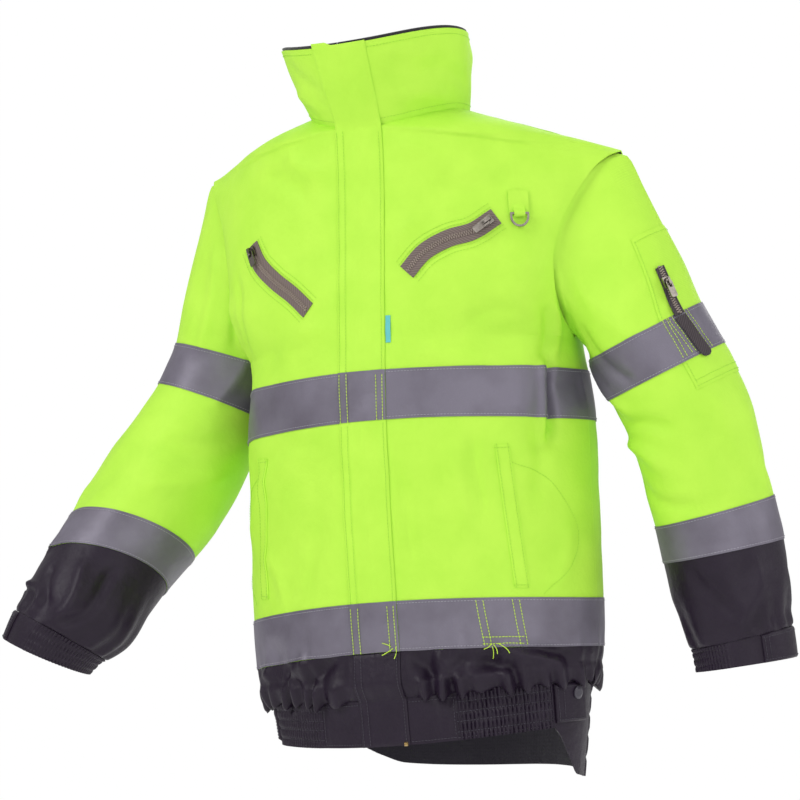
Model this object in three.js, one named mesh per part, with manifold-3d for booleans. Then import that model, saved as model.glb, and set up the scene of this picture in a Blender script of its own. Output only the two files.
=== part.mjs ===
// Hi-vis work jacket, filled out as if worn, hollow and open at neck, hem and cuffs.
// Millimetres. +Z is up, the jacket faces -Y, and +X is the wearer's left.
// The origin is the middle of the neck base at shoulder height.
import * as THREE from 'three';
import { mergeVertices } from 'three/addons/utils/BufferGeometryUtils.js';
import Module from 'manifold-3d';

const wasm = await Module();
wasm.setup();

// Cloth and seams
const CLOTH = 2.0;
const TAPE = 1.0;
const LINING = 1.2;
const GAP = 0.3;
const SEAT = 0.5;

// Heights of the rows across the body, measured down the centre front
const NECK = -19;
const SHOULDER = 19;
const ARMPIT = -235;
const CHEST_TAPE_TOP = -265;
const CHEST_TAPE_FOOT = -315;
const HEM_TAPE_TOP = -495;
const HEM_TAPE_FOOT = -545;
const WAIST_SEAM = -592;
const HEM = -638;

// Widths measured along the cloth from the centre front
const ZIP_HALF = 3;
const FLAP_HALF = 26;
const PLAIN_END = 76;
const ELASTIC_END = 176;
const RIB_PITCH = 4.2;
const RIB_HEIGHT = 1.6;

// Neckline and collar
const NECK_RING = { y: -44, wide: 82, deep: 76, frontZ: -19, sideZ: 2, backZ: 8 };
const COLLAR_RING = { y: -75, wide: 97, deep: 86, frontZ: 58, sideZ: 73, backZ: 78 };
const COLLAR_BOW = 2;

// Body rows: front and back depth, and the side seam below the armpit
const BODY_ROWS = [
  { level: -638, frontY: -113, frontZ: -638, backY: 110, backZ: -640, sideX: 165, sideZ: -628 },
  { level: -592, frontY: -115, frontZ: -592, backY: 112, backZ: -596, sideX: 171, sideZ: -584 },
  { level: -572, frontY: -124, frontZ: -574, backY: 119, backZ: -576, sideX: 182, sideZ: -570 },
  { level: -545, frontY: -122, frontZ: -545, backY: 121, backZ: -549, sideX: 187, sideZ: -552 },
  { level: -495, frontY: -124, frontZ: -495, backY: 124, backZ: -499, sideX: 189, sideZ: -503 },
  { level: -400, frontY: -130, frontZ: -400, backY: 132, backZ: -402, sideX: 188, sideZ: -407 },
  { level: -315, frontY: -132, frontZ: -315, backY: 136, backZ: -316, sideX: 187, sideZ: -323 },
  { level: -265, frontY: -131, frontZ: -265, backY: 136, backZ: -265, sideX: 180, sideZ: -271 },
  { level: -235, frontY: -129, frontZ: -235, backY: 135, backZ: -233, sideX: 175, sideZ: -238 },
  { level: -186, frontY: -126, frontZ: -186, backY: 130, backZ: -180 },
  { level: -130, frontY: -122, frontZ: -130, backY: 118, backZ: -115 },
  { level: -74, frontY: -119, frontZ: -74, backY: 88, backZ: -40 },
  { level: -46, frontY: -119, frontZ: -46, backY: 62, backZ: -10 },
  { level: -19, frontY: -120, frontZ: -19, backY: 32, backZ: 8 },
];
const SIDE_ROWS = BODY_ROWS.filter((row) => row.sideX !== undefined);

// The armhole's front and back edges. The turn is the heading of the row as it ends, in degrees.
const ARMHOLE_ROWS = [
  { level: -235, frontX: 175, frontY: 0, frontZ: -238, frontTurn: 90,
    backX: 175, backY: 0, backZ: -238, backTurn: 90 },
  { level: -212, frontX: 178, frontY: -38, frontZ: -214, frontTurn: 84,
    backX: 177, backY: 30, backZ: -216, backTurn: 86 },
  { level: -186, frontX: 181, frontY: -58, frontZ: -187, frontTurn: 76,
    backX: 179, backY: 48, backZ: -190, backTurn: 78 },
  { level: -158, frontX: 183, frontY: -63, frontZ: -158, frontTurn: 68,
    backX: 183, backY: 58, backZ: -161, backTurn: 70 },
  { level: -130, frontX: 188, frontY: -58, frontZ: -130, frontTurn: 60,
    backX: 190, backY: 60, backZ: -132, backTurn: 60 },
  { level: -102, frontX: 197, frontY: -47, frontZ: -104, frontTurn: 52,
    backX: 199, backY: 54, backZ: -106, backTurn: 50 },
  { level: -74, frontX: 208, frontY: -36, frontZ: -80, frontTurn: 44,
    backX: 210, backY: 44, backZ: -82, backTurn: 40 },
  { level: -46, frontX: 217, frontY: -26, frontZ: -63, frontTurn: 34,
    backX: 219, backY: 33, backZ: -65, backTurn: 30 },
  { level: -19, frontX: 224, frontY: -15, frontZ: -53, frontTurn: 25,
    backX: 226, backY: 23, backZ: -55, backTurn: 20 },
  { level: 0, frontX: 229, frontY: -5, frontZ: -48, frontTurn: 18,
    backX: 230, backY: 15, backZ: -50, backTurn: 12 },
  { level: 19, frontX: 232, frontY: 6, frontZ: -45, frontTurn: 12,
    backX: 232, backY: 6, backZ: -45, backTurn: -12 },
];

// How it hangs unevenly: the wearer's left side higher by the lift, and the row moved across
const HANG_ROWS = [
  { level: -638, lift: 6, shift: 5 },
  { level: -592, lift: 7, shift: 3 },
  { level: -495, lift: 6, shift: 0 },
  { level: -290, lift: 4, shift: 0 },
  { level: -130, lift: 0, shift: 0 },
  { level: -19, lift: -4, shift: 0 },
  { level: 19, lift: -4, shift: 0 },
];
const LIFT_ARM = 190;
const COLLAR_LIFT = 6;

// The longer tail of the back waistband, from the right side seam, -1, to the left one, 1, and past it
const TAIL_ROWS = [
  { at: -1, drop: -5 },
  { at: -0.8, drop: -5 },
  { at: -0.62, drop: 1 },
  { at: -0.5, drop: 12 },
  { at: -0.38, drop: 20 },
  { at: 0, drop: 24 },
  { at: 0.3, drop: 28 },
  { at: 0.6, drop: 37 },
  { at: 0.85, drop: 52 },
  { at: 1, drop: 50 },
  { at: 1.1, drop: 30 },
  { at: 1.2, drop: 3 },
  { at: 1.23, drop: 0 },
];
const TAIL_TUCK = 0.16;
const TAIL_EASE = 1.3;

// Sleeve sections from the shoulder down: centre, half width across the front view, half depth
const LEFT_SLEEVE = [
  { run: 100, x: 245, y: 20, z: -232, wide: 60, deep: 68 },
  { run: 150, x: 262, y: 30, z: -274, wide: 63, deep: 68 },
  { run: 215, x: 284, y: 42, z: -333, wide: 63, deep: 67 },
  { run: 265, x: 291, y: 50, z: -385, wide: 61, deep: 64 },
  { run: 297, x: 297, y: 55, z: -414, wide: 61, deep: 62 },
  { run: 347, x: 303, y: 61, z: -455, wide: 61, deep: 62 },
  { run: 385, x: 308, y: 65, z: -494, wide: 60, deep: 61 },
  { run: 420, x: 312, y: 68, z: -528, wide: 52, deep: 55 },
  { run: 434, x: 315, y: 70, z: -542, wide: 51, deep: 52 },
  { run: 462, x: 318, y: 72, z: -569, wide: 50, deep: 50 },
];
const RIGHT_SLEEVE = [
  { run: 100, x: -234, y: 28, z: -228, wide: 57, deep: 66 },
  { run: 150, x: -252, y: 21, z: -276, wide: 60, deep: 67 },
  { run: 215, x: -283, y: -2, z: -340, wide: 68, deep: 69 },
  { run: 265, x: -306, y: -25, z: -388, wide: 69, deep: 68 },
  { run: 310, x: -329, y: -50, z: -429, wide: 64, deep: 65 },
  { run: 358, x: -346, y: -69, z: -462, wide: 63, deep: 63 },
  { run: 395, x: -357, y: -88, z: -492, wide: 60, deep: 61 },
  { run: 420, x: -369, y: -95, z: -506, wide: 54, deep: 56 },
  { run: 432, x: -376, y: -99, z: -514, wide: 52, deep: 53 },
  { run: 462, x: -391, y: -103, z: -535, wide: 47, deep: 49 },
];
const ARM = {
  left: { rows: LEFT_SLEEVE, tape: [100, 150], lowTape: [297, 347], cuff: [434, 462] },
  right: { rows: RIGHT_SLEEVE, tape: [100, 150], lowTape: [292, 340], cuff: [432, 462] },
};
// How far the sections of the wearer's right sleeve lean, in degrees: their inner side sits higher
const RIGHT_TURN = [
  { run: 100, turn: 4 },
  { run: 150, turn: 4 },
  { run: 215, turn: 12 },
  { run: 292, turn: 17 },
  { run: 340, turn: 17 },
  { run: 432, turn: 11 },
];
const TUCK = 8;
const HEAD_CLEAR = 2.0;
const RIM_CLEAR = 3.5;
const UNDERARM_SHARE = 0.35;
const CUFF_RIBS = 18;

// Largest folds of the front and back: from one point to another, across and up, then size
const FOLDS = [
  { face: 'front', side: 1, x0: 158, z0: -170, x1: 150, z1: -300, width: 16, depth: 5 },
  { face: 'front', side: 1, x0: 172, z0: -285, x1: 168, z1: -340, width: 12, depth: -7 },
  { face: 'front', side: 1, x0: 60, z0: -330, x1: 90, z1: -470, width: 26, depth: 3 },
  { face: 'front', side: -1, x0: 150, z0: -200, x1: 140, z1: -330, width: 20, depth: 4 },
  { face: 'front', side: -1, x0: 60, z0: -360, x1: 110, z1: -480, width: 28, depth: -3 },
  { face: 'front', side: -1, x0: 130, z0: -545, x1: 120, z1: -590, width: 14, depth: -6 },
  { face: 'front', side: 1, x0: 60, z0: -550, x1: 70, z1: -590, width: 13, depth: -6 },
  { face: 'front', side: 1, x0: 120, z0: -550, x1: 104, z1: -590, width: 13, depth: -5 },
  { face: 'back', side: 1, x0: 60, z0: -140, x1: 30, z1: -300, width: 26, depth: 4 },
  { face: 'back', side: -1, x0: 60, z0: -150, x1: 35, z1: -320, width: 26, depth: 4 },
  { face: 'back', side: 1, x0: 90, z0: -552, x1: 84, z1: -592, width: 16, depth: -6 },
  { face: 'back', side: -1, x0: 90, z0: -552, x1: 96, z1: -592, width: 16, depth: -6 },
];

// Colours
const NEON = 0xb6f24a;
const SILVER = 0x867f90;
const NAVY = 0x312b34;
const ZIP_TAPE = 0x84746d;
const METAL = 0xa9a59c;
const TURQUOISE = 0x3fb6b8;

const jacket = new THREE.Group();

// Reads one named column of a table at any height, smooth and without overshoot between its rows.
function readRows(rows, name, at, key = 'level') {
  const last = rows.length - 1;
  if (at <= rows[0][key]) return rows[0][name];
  if (at >= rows[last][key]) return rows[last][name];
  let i = 0;
  while (rows[i + 1][key] < at) i += 1;
  const step = (j) => rows[j + 1][key] - rows[j][key];
  const rise = (j) => (rows[j + 1][name] - rows[j][name]) / step(j);
  const slope = (j) => {
    if (j === 0) return rise(0);
    if (j === last) return rise(last - 1);
    const before = rise(j - 1);
    const after = rise(j);
    return before * after <= 0 ? 0 : 2 * before * after / (before + after);
  };
  const h = step(i);
  const t = (at - rows[i][key]) / h;
  const a = rows[i][name] * (1 + 2 * t) * (1 - t) ** 2 + h * slope(i) * t * (1 - t) ** 2;
  const b = rows[i + 1][name] * t * t * (3 - 2 * t) + h * slope(i + 1) * t * t * (t - 1);
  return a + b;
}

// A point of the neck seam. The angle runs from the centre front, 0, to the centre back, 180.
function neckPoint(ring, degrees) {
  const angle = THREE.MathUtils.degToRad(degrees);
  const front = Math.max(0, Math.cos(angle));
  const back = Math.max(0, -Math.cos(angle));
  return new THREE.Vector3(
    ring.wide * Math.sin(angle),
    ring.y - ring.deep * Math.cos(angle),
    ring.sideZ + (ring.frontZ - ring.sideZ) * front ** 2 + (ring.backZ - ring.sideZ) * back ** 2,
  );
}

// Where a row starts, at the centre of the body or on the neck seam.
function rowStart(face, level) {
  if (level > NECK) {
    const share = (level - NECK) / (SHOULDER - NECK);
    return neckPoint(NECK_RING, face === 'front' ? 90 * share : 180 - 90 * share);
  }
  return new THREE.Vector3(0, readRows(BODY_ROWS, `${face}Y`, level), readRows(BODY_ROWS, `${face}Z`, level));
}

// Where a row ends, at the side seam or on the armhole, and its heading there.
function rowEnd(face, level) {
  if (level > ARMPIT) {
    const read = (name) => readRows(ARMHOLE_ROWS, face + name, level);
    return { point: new THREE.Vector3(read('X'), read('Y'), read('Z')), turn: read('Turn') };
  }
  const sideX = readRows(SIDE_ROWS, 'sideX', level);
  return { point: new THREE.Vector3(sideX, 0, readRows(SIDE_ROWS, 'sideZ', level)), turn: 90 };
}

// Shape of a row in plan: how far its handles reach, and the least reach at an armhole
const ROUND = 0.55;
const LEAST_REACH = 0.35;
const STRAIGHT_LEVEL = -5;
const SAG_SPAN = 60;
const ROW_STEPS = 32;
const rowCache = new Map();

// One row of a body half as a smooth curve, with the distance along it at each step.
function bodyRow(face, level) {
  const name = `${face} ${level.toFixed(3)}`;
  if (rowCache.has(name)) return rowCache.get(name);
  const start = rowStart(face, level);
  const { point: end, turn } = rowEnd(face, level);
  const heading = THREE.MathUtils.degToRad(turn);
  const away = face === 'front' ? 1 : -1;
  const lead = ROUND * (end.x - start.x);
  const leastReach = LEAST_REACH * (end.x - start.x) * Math.cos(heading);
  const trail = ROUND * Math.max(Math.abs(end.y - start.y), leastReach);
  const p1 = new THREE.Vector2(start.x + lead, start.y);
  const p2 = new THREE.Vector2(end.x - trail * Math.cos(heading), end.y - away * trail * Math.sin(heading));
  const plan = new THREE.CubicBezierCurve(
    new THREE.Vector2(start.x, start.y), p1, p2, new THREE.Vector2(end.x, end.y));
  const sag = 1 + THREE.MathUtils.clamp((STRAIGHT_LEVEL - level) / SAG_SPAN, 0, 1);
  const points = [];
  const run = [0];
  for (let i = 0; i <= ROW_STEPS; i += 1) {
    const u = i / ROW_STEPS;
    const q = plan.getPoint(u);
    const across = (q.x - start.x) / (end.x - start.x);
    points.push(new THREE.Vector3(q.x, q.y, start.z + (end.z - start.z) * across ** sag));
    if (i) run.push(run[i - 1] + points[i].distanceTo(points[i - 1]));
  }
  const row = { points, run, length: run[ROW_STEPS] };
  rowCache.set(name, row);
  return row;
}

// A column is a distance along the row in millimetres, or a share of what is left past the flap.
function along(row, column) {
  if (column.mm !== undefined) return column.mm;
  return FLAP_HALF + column.share * (row.length - FLAP_HALF);
}

function plainPoint(face, side, level, distance) {
  const row = bodyRow(face, level);
  const d = Math.min(Math.max(distance, 0), row.length);
  let i = 0;
  while (i < ROW_STEPS - 1 && row.run[i + 1] < d) i += 1;
  const t = (d - row.run[i]) / (row.run[i + 1] - row.run[i]);
  const p = row.points[i].clone().lerp(row.points[i + 1], t);
  p.z += readRows(HANG_ROWS, 'lift', level) * side * p.x / LIFT_ARM;
  p.x = side * p.x + readRows(HANG_ROWS, 'shift', level);
  return p;
}

// Height of the folds over the plain surface.
function foldHeight(face, side, p) {
  let sum = 0;
  for (const fold of FOLDS) {
    if (fold.face !== face || fold.side !== side) continue;
    const ax = fold.x1 - fold.x0;
    const az = fold.z1 - fold.z0;
    const px = p.x * side - fold.x0;
    const pz = p.z - fold.z0;
    const t = Math.min(1, Math.max(0, (px * ax + pz * az) / (ax * ax + az * az)));
    const off = Math.hypot(px - t * ax, pz - t * az) / fold.width;
    sum += fold.depth * Math.exp(-off * off);
  }
  return sum;
}

// Outward normal of a surface given by two numbers, from its neighbours.
function slopeNormal(at, a, b, da, db, [a0, a1], [b0, b1]) {
  const acrossA = at(Math.min(a + da, a1), b).sub(at(Math.max(a - da, a0), b));
  const acrossB = at(a, Math.min(b + db, b1)).sub(at(a, Math.max(b - db, b0)));
  return acrossB.cross(acrossA).normalize();
}

// Outward normal of the unfolded body. A face that looks mostly sideways is turned by its x.
const LEVEL_STEP = 2;
const ACROSS_STEP = 3;
const SIDEWAYS = 0.3;

function plainNormal(face, side, level, distance, top = SHOULDER) {
  const n = slopeNormal((l, d) => plainPoint(face, side, l, d), level, distance, LEVEL_STEP, ACROSS_STEP,
    [HEM, top], [0, bodyRow(face, level).length]);
  const inwardY = face === 'front' ? n.y > 0 : n.y < 0;
  const inwardX = Math.abs(n.y) < SIDEWAYS && n.x * side < 0;
  return inwardY || inwardX ? n.negate() : n;
}

// A body point with its outward normal. Both faces share one normal at the side and shoulder seams.
function bodyPoint(face, side, level, distance) {
  const row = bodyRow(face, level);
  const n = plainNormal(face, side, level, distance, level <= ARMPIT ? ARMPIT : SHOULDER);
  const other = face === 'front' ? 'back' : 'front';
  if (level <= ARMPIT && distance > row.length - 1) {
    n.add(plainNormal(other, side, level, bodyRow(other, level).length));
  }
  if (level > SHOULDER - 1) n.add(plainNormal(other, side, level, distance));
  if (level <= NECK && distance < 1) n.x = 0;
  n.normalize();
  const p = plainPoint(face, side, level, distance);
  p.addScaledVector(n, foldHeight(face, side, p));
  return { p, n };
}

// A closed wall between two distances from a grid of points with normals. A notch, given by its row
// and column, opens the wall above that row, between that column and the next.
function wall(grid, low, high, { ring = false, notch } = {}) {
  const rows = grid.length;
  const cols = grid[0].length;
  const spans = ring ? cols : cols - 1;
  const position = [];
  const reach = (value, i, j) => (typeof value === 'function' ? value(i, j) : value);
  for (const layer of [high, low]) {
    grid.forEach((line, i) => line.forEach(({ p, n }, j) => {
      const q = p.clone().addScaledVector(n, reach(layer, i, j));
      position.push(q.x, q.y, q.z);
    }));
  }
  const outer = (i, j) => {
    const closed = notch && i <= notch.row && j === notch.column + 1;
    return i * cols + (closed ? notch.column : j % cols);
  };
  const inner = (i, j) => rows * cols + outer(i, j);
  const index = [];
  const quad = (a, b, c, d) => index.push(a, b, c, a, c, d);
  const steps = Array.from({ length: spans }, (_, j) => j).filter((j) => j !== notch?.column);
  for (let i = 0; i < rows - 1; i += 1) {
    for (const j of steps) {
      quad(outer(i, j), outer(i, j + 1), outer(i + 1, j + 1), outer(i + 1, j));
      quad(inner(i, j), inner(i + 1, j), inner(i + 1, j + 1), inner(i, j + 1));
    }
  }
  for (const j of steps) {
    quad(outer(0, j), inner(0, j), inner(0, j + 1), outer(0, j + 1));
    quad(outer(rows - 1, j), outer(rows - 1, j + 1), inner(rows - 1, j + 1), inner(rows - 1, j));
  }
  const startEdge = (i, j) => quad(outer(i, j), outer(i + 1, j), inner(i + 1, j), inner(i, j));
  const endEdge = (i, j) => quad(outer(i, j), inner(i, j), inner(i + 1, j), outer(i + 1, j));
  for (let i = 0; i < rows - 1 && !ring; i += 1) {
    startEdge(i, 0);
    endEdge(i, spans);
  }
  for (let i = notch ? notch.row : rows; i < rows - 1; i += 1) {
    endEdge(i, notch.column);
    startEdge(i, notch.column + 1);
  }
  return facingOut(position, index);
}

// A geometry whose faces point out, whichever way its grid runs.
function facingOut(position, index) {
  const at = (k) => new THREE.Vector3().fromArray(position, 3 * index[k]);
  let volume = 0;
  for (let k = 0; k < index.length; k += 3) volume += at(k).dot(at(k + 1).cross(at(k + 2)));
  if (volume < 0) {
    for (let k = 0; k < index.length; k += 3) [index[k + 1], index[k + 2]] = [index[k + 2], index[k + 1]];
  }
  const geometry = new THREE.BufferGeometry();
  geometry.setAttribute('position', new THREE.Float32BufferAttribute(position, 3));
  geometry.setIndex(index);
  return geometry;
}

function add(name, geometry, color, roughness = 0.85, metalness = 0) {
  const mesh = new THREE.Mesh(geometry, new THREE.MeshStandardMaterial({ color, roughness, metalness }));
  mesh.name = name;
  jacket.add(mesh);
  return mesh;
}

// Rows and columns of the body grids

const CENTRE_COLUMNS = [{ mm: ZIP_HALF + GAP }, { mm: 14 }, { mm: FLAP_HALF }];
const REST_SHARES = [0.09, 0.18, 0.27, 0.36, 0.45, 0.54, 0.63, 0.72, 0.81, 0.9, 1];
const FRONT_COLUMNS = [...CENTRE_COLUMNS, ...REST_SHARES.map((share) => ({ share }))];
const BACK_SHARES = [0.12, 0.25, 0.38, 0.5, 0.62, 0.74, 0.85, 0.93, 1];
const BACK_COLUMNS = [{ mm: 0 }, { mm: FLAP_HALF }, ...BACK_SHARES.map((share) => ({ share }))];
const HALF_GAP = GAP / 2;
const SHOULDER_GAP = 0.9;
const BODY_LEVELS = [-520, -495, -450, -405, -360, -315, -290, -265];
const ARMHOLE_LEVELS = ARMHOLE_ROWS.map((row) => row.level);
const PANEL_LEVELS = [
  HEM_TAPE_FOOT + HALF_GAP, ...BODY_LEVELS, ...ARMHOLE_LEVELS.slice(0, -1), SHOULDER - SHOULDER_GAP];

// A grid over one body half. The side seam edge is drawn back by half the seam gap.
function bodyGrid(face, side, levels, columns) {
  return levels.map((level) => columns.map((col) => {
    const row = bodyRow(face, level);
    const end = level <= ARMPIT ? row.length - HALF_GAP : row.length;
    return bodyPoint(face, side, level, Math.min(along(row, col), end));
  }));
}

// Both back halves joined into one grid, from the wearer's right to the left.
function backGrid(levels, columns = BACK_COLUMNS) {
  const left = bodyGrid('back', 1, levels, columns);
  const right = bodyGrid('back', -1, levels, columns);
  return left.map((line, i) => [...right[i].slice(1).reverse(), ...line]);
}

function buildFronts() {
  for (const [word, side] of [['left', 1], ['right', -1]]) {
    add(`front_${word}`, wall(bodyGrid('front', side, PANEL_LEVELS, FRONT_COLUMNS), -CLOTH, 0), NEON);
  }
}

// The back is one piece, notched at the top by the neck.
function buildBack() {
  const left = bodyGrid('back', 1, PANEL_LEVELS, BACK_COLUMNS);
  const right = bodyGrid('back', -1, PANEL_LEVELS, BACK_COLUMNS);
  const grid = left.map((line, i) => [...right[i].reverse(), ...line]);
  const notch = { row: PANEL_LEVELS.indexOf(NECK), column: BACK_COLUMNS.length - 1 };
  add('back', wall(grid, -CLOTH, 0, { notch }), NEON);
}

const LOWER_LEVELS = [WAIST_SEAM + HALF_GAP, -582, -572, -558, HEM_TAPE_FOOT - HALF_GAP];

function buildLowerPanels() {
  for (const [word, side] of [['left', 1], ['right', -1]]) {
    const grid = bodyGrid('front', side, LOWER_LEVELS, FRONT_COLUMNS);
    add(`lower_front_${word}`, wall(grid, -CLOTH, 0), NAVY);
  }
  add('lower_back', wall(backGrid(LOWER_LEVELS), -CLOTH, 0), NAVY);
}

// Reflective bands round the body, one piece on each panel, on the panels' own grid points.
const TAPE_BANDS = [
  ['chest', [CHEST_TAPE_FOOT, -290, CHEST_TAPE_TOP]],
  ['hem', [HEM_TAPE_FOOT + HALF_GAP, -520, HEM_TAPE_TOP]],
];

function buildBodyTapes() {
  const past = [{ mm: FLAP_HALF + GAP }, ...REST_SHARES.map((share) => ({ share }))];
  for (const [word, levels] of TAPE_BANDS) {
    for (const [hand, side] of [['left', 1], ['right', -1]]) {
      const grid = bodyGrid('front', side, levels, past);
      add(`tape_${word}_front_${hand}`, wall(grid, GAP, GAP + TAPE), SILVER);
    }
    add(`tape_${word}_back`, wall(backGrid(levels), GAP, GAP + TAPE), SILVER);
  }
}

// Waistband: plain beside the flap, then an elastic stretch of raised ribs, then a plain side
// with a snapped tab over it. The back piece has a longer tail that reaches round the left side.

const BAND_LEVELS = [HEM, -615, WAIST_SEAM - HALF_GAP];
const SIDE_LEVELS = [HEM, -627, -615, -604, WAIST_SEAM - HALF_GAP];
const TAB_LEVELS = [HEM + 4, -627, -615, -604, WAIST_SEAM - 3];

function evenColumns(from, to, count) {
  return Array.from({ length: count + 1 }, (_, i) => ({ mm: from + (to - from) * i / count }));
}

// Lets the hem edge of a grid down by the tail's drop, less at each row above it.
function letDown(grid, placeOf) {
  const last = grid.length - 1;
  return grid.map((line, i) => line.map(({ p, n }, j) => {
    const drop = readRows(TAIL_ROWS, 'drop', placeOf(j), 'at') * (1 - i / last) ** TAIL_EASE;
    const q = p.clone().addScaledVector(n, -TAIL_TUCK * drop);
    q.z -= drop;
    return { p: q, n };
  }));
}

function buildWaistband() {
  for (const [word, side] of [['left', 1], ['right', -1]]) {
    const length = bodyRow('front', HEM).length;
    const ribCount = 2 * Math.round((ELASTIC_END - PLAIN_END) / RIB_PITCH);
    const plain = evenColumns(ZIP_HALF + GAP, PLAIN_END - HALF_GAP, 4);
    const elastic = evenColumns(PLAIN_END + HALF_GAP, ELASTIC_END - HALF_GAP, ribCount);
    const rest = evenColumns(ELASTIC_END + HALF_GAP, length - HALF_GAP, 4);
    const grid = (columns, levels = BAND_LEVELS) => bodyGrid('front', side, levels, columns);
    add(`waistband_front_${word}`, wall(grid(plain), -CLOTH, 0), NAVY);
    const ridge = (i, j) => (j % 2 ? RIB_HEIGHT : 0);
    add(`waistband_elastic_${word}`, wall(grid(elastic), -CLOTH, ridge), NAVY);
    const placeOf = (j) => side * (1 + (length - rest[j].mm) / length);
    add(`waistband_side_${word}`, wall(letDown(grid(rest, SIDE_LEVELS), placeOf), -CLOTH, 0), NAVY);
    add(`waistband_tab_${word}`, wall(grid(rest, TAB_LEVELS), GAP + SEAT, GAP + SEAT + CLOTH), NAVY);
    buildSnap(word, side);
  }
  const shares = [0, ...BACK_SHARES];
  const placeOf = (j) => {
    const k = j - shares.length;
    return Math.sign(k) * shares[Math.max(0, Math.abs(k) - 1)];
  };
  add('waistband_back', wall(letDown(backGrid(SIDE_LEVELS), placeOf), -CLOTH, 0), NAVY);
}

// A turned local frame on the body: x across, y up the cloth, z out of it.
function spotFrame({ p, n }, up = new THREE.Vector3(0, 0, 1)) {
  const y = up.clone().addScaledVector(n, -up.dot(n)).normalize();
  const x = y.clone().cross(n);
  return new THREE.Matrix4().makeBasis(x, y, n.clone()).setPosition(p);
}

// The snap on each side tab, at a share of the way from the flap to the side seam
const SNAP = { radius: 6.5, top: 3.9, rim: 1.4, dome: 2.4, turns: 16, share: 0.9, level: -606 };

function buildSnap(word, side) {
  const row = bodyRow('front', SNAP.level);
  const spot = bodyPoint('front', side, SNAP.level, along(row, SNAP));
  const { radius, top, rim, dome } = SNAP;
  const profile = [[0, 0], [radius, 0], [radius, rim], [top, dome], [0, dome]];
  const geometry = new THREE.LatheGeometry(profile.map(([x, y]) => new THREE.Vector2(x, y)), SNAP.turns);
  geometry.rotateX(Math.PI / 2);
  geometry.translate(0, 0, 2 * (GAP + SEAT) + CLOTH);
  geometry.applyMatrix4(spotFrame(spot));
  add(`waistband_snap_${word}`, geometry, NAVY, 0.5);
}

// Collar: a tall stand, open at the centre front, leaning forward over its neck seam.

function collarPoint(height, degrees) {
  const low = neckPoint(NECK_RING, Math.abs(degrees));
  const high = neckPoint(COLLAR_RING, Math.abs(degrees));
  const p = low.lerp(high, height);
  const angle = THREE.MathUtils.degToRad(Math.abs(degrees));
  const bow = COLLAR_BOW * Math.sin(Math.PI * height);
  p.x += bow * Math.sin(angle);
  p.y -= bow * Math.cos(angle);
  const side = degrees < 0 ? -1 : 1;
  const lift = readRows(HANG_ROWS, 'lift', SHOULDER);
  p.z += (lift + (COLLAR_LIFT - lift) * height) * side * p.x / LIFT_ARM;
  p.x *= side;
  return p;
}

function collarSpot(height, degrees) {
  const n = slopeNormal(collarPoint, height, degrees, 0.02, 2, [0, 1.05], [-182, 182]);
  const p = collarPoint(height, degrees);
  const out = p.x * n.x + (p.y - NECK_RING.y) * n.y;
  return { p, n: n.multiplyScalar(out < 0 ? -1 : 1) };
}

// Rows as shares of its height, columns as angles from its opening. The lining stands a little higher.
const COLLAR_HEIGHTS = [0.012, 0.35, 0.7, 1];
const LINING_RAISE = 0.018;
const COLLAR_OPEN = 2.4;
const FLAP_TURN = 17.5;
const COLLAR_STEP = 12.5;
const COLLAR_ANGLES = [
  COLLAR_OPEN, 10, FLAP_TURN, ...Array.from({ length: 13 }, (_, i) => FLAP_TURN + COLLAR_STEP * (i + 1))];

function buildCollar() {
  const half = COLLAR_ANGLES.slice(0, -1);
  const loop = [...half.map((a) => -a), -180, ...half.reverse()];
  const grid = (heights) => heights.map((h) => loop.map((a) => collarSpot(h, a)));
  add('collar', wall(grid(COLLAR_HEIGHTS), -CLOTH, 0), NEON);
  const raised = COLLAR_HEIGHTS.map((h) => h + LINING_RAISE);
  add('collar_lining', wall(grid(raised), -CLOTH - GAP - LINING, -CLOTH - GAP), NAVY);
}

// Front closure: a narrow zip strip between the fronts, and the storm flap that covers it.

const CLOSURE_LEVELS = [HEM, -615, WAIST_SEAM, -572, HEM_TAPE_FOOT, -520, -495, -450, -405, -360,
  -315, -290, -265, -235, -212, -186, -158, -130, -102, -74, -46, -19];
const FLAP_COLUMNS = [-FLAP_HALF, -14, -ZIP_HALF, ZIP_HALF, 14, FLAP_HALF];
const ZIP_HEIGHTS = [0.35, 0.7, 0.98];
const FLAP_HEIGHTS = [0.35, 0.7, 1.02];
const ZIP_SLACK = 0.1;
const FLAP_WALL = 2.2;

function closureRow(level, distances) {
  return distances.map((d) => bodyPoint('front', d < 0 ? -1 : 1, level, Math.abs(d)));
}

function closureCollarRow(height, distances) {
  return distances.map((d) => collarSpot(height, d * FLAP_TURN / FLAP_HALF));
}

function closureGrid(levels, heights, distances) {
  return [
    ...levels.map((level) => closureRow(level, distances)),
    ...heights.map((height) => closureCollarRow(height, distances)),
  ];
}

// Blends the normals of the rows on both sides of the neck seam, where the flap bends.
function easeBend(grid, at) {
  const before = grid[at - 1];
  const after = grid[at + 1];
  grid[at] = grid[at].map(({ p }, j) => ({ p, n: before[j].n.clone().add(after[j].n).normalize() }));
  return grid;
}

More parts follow.
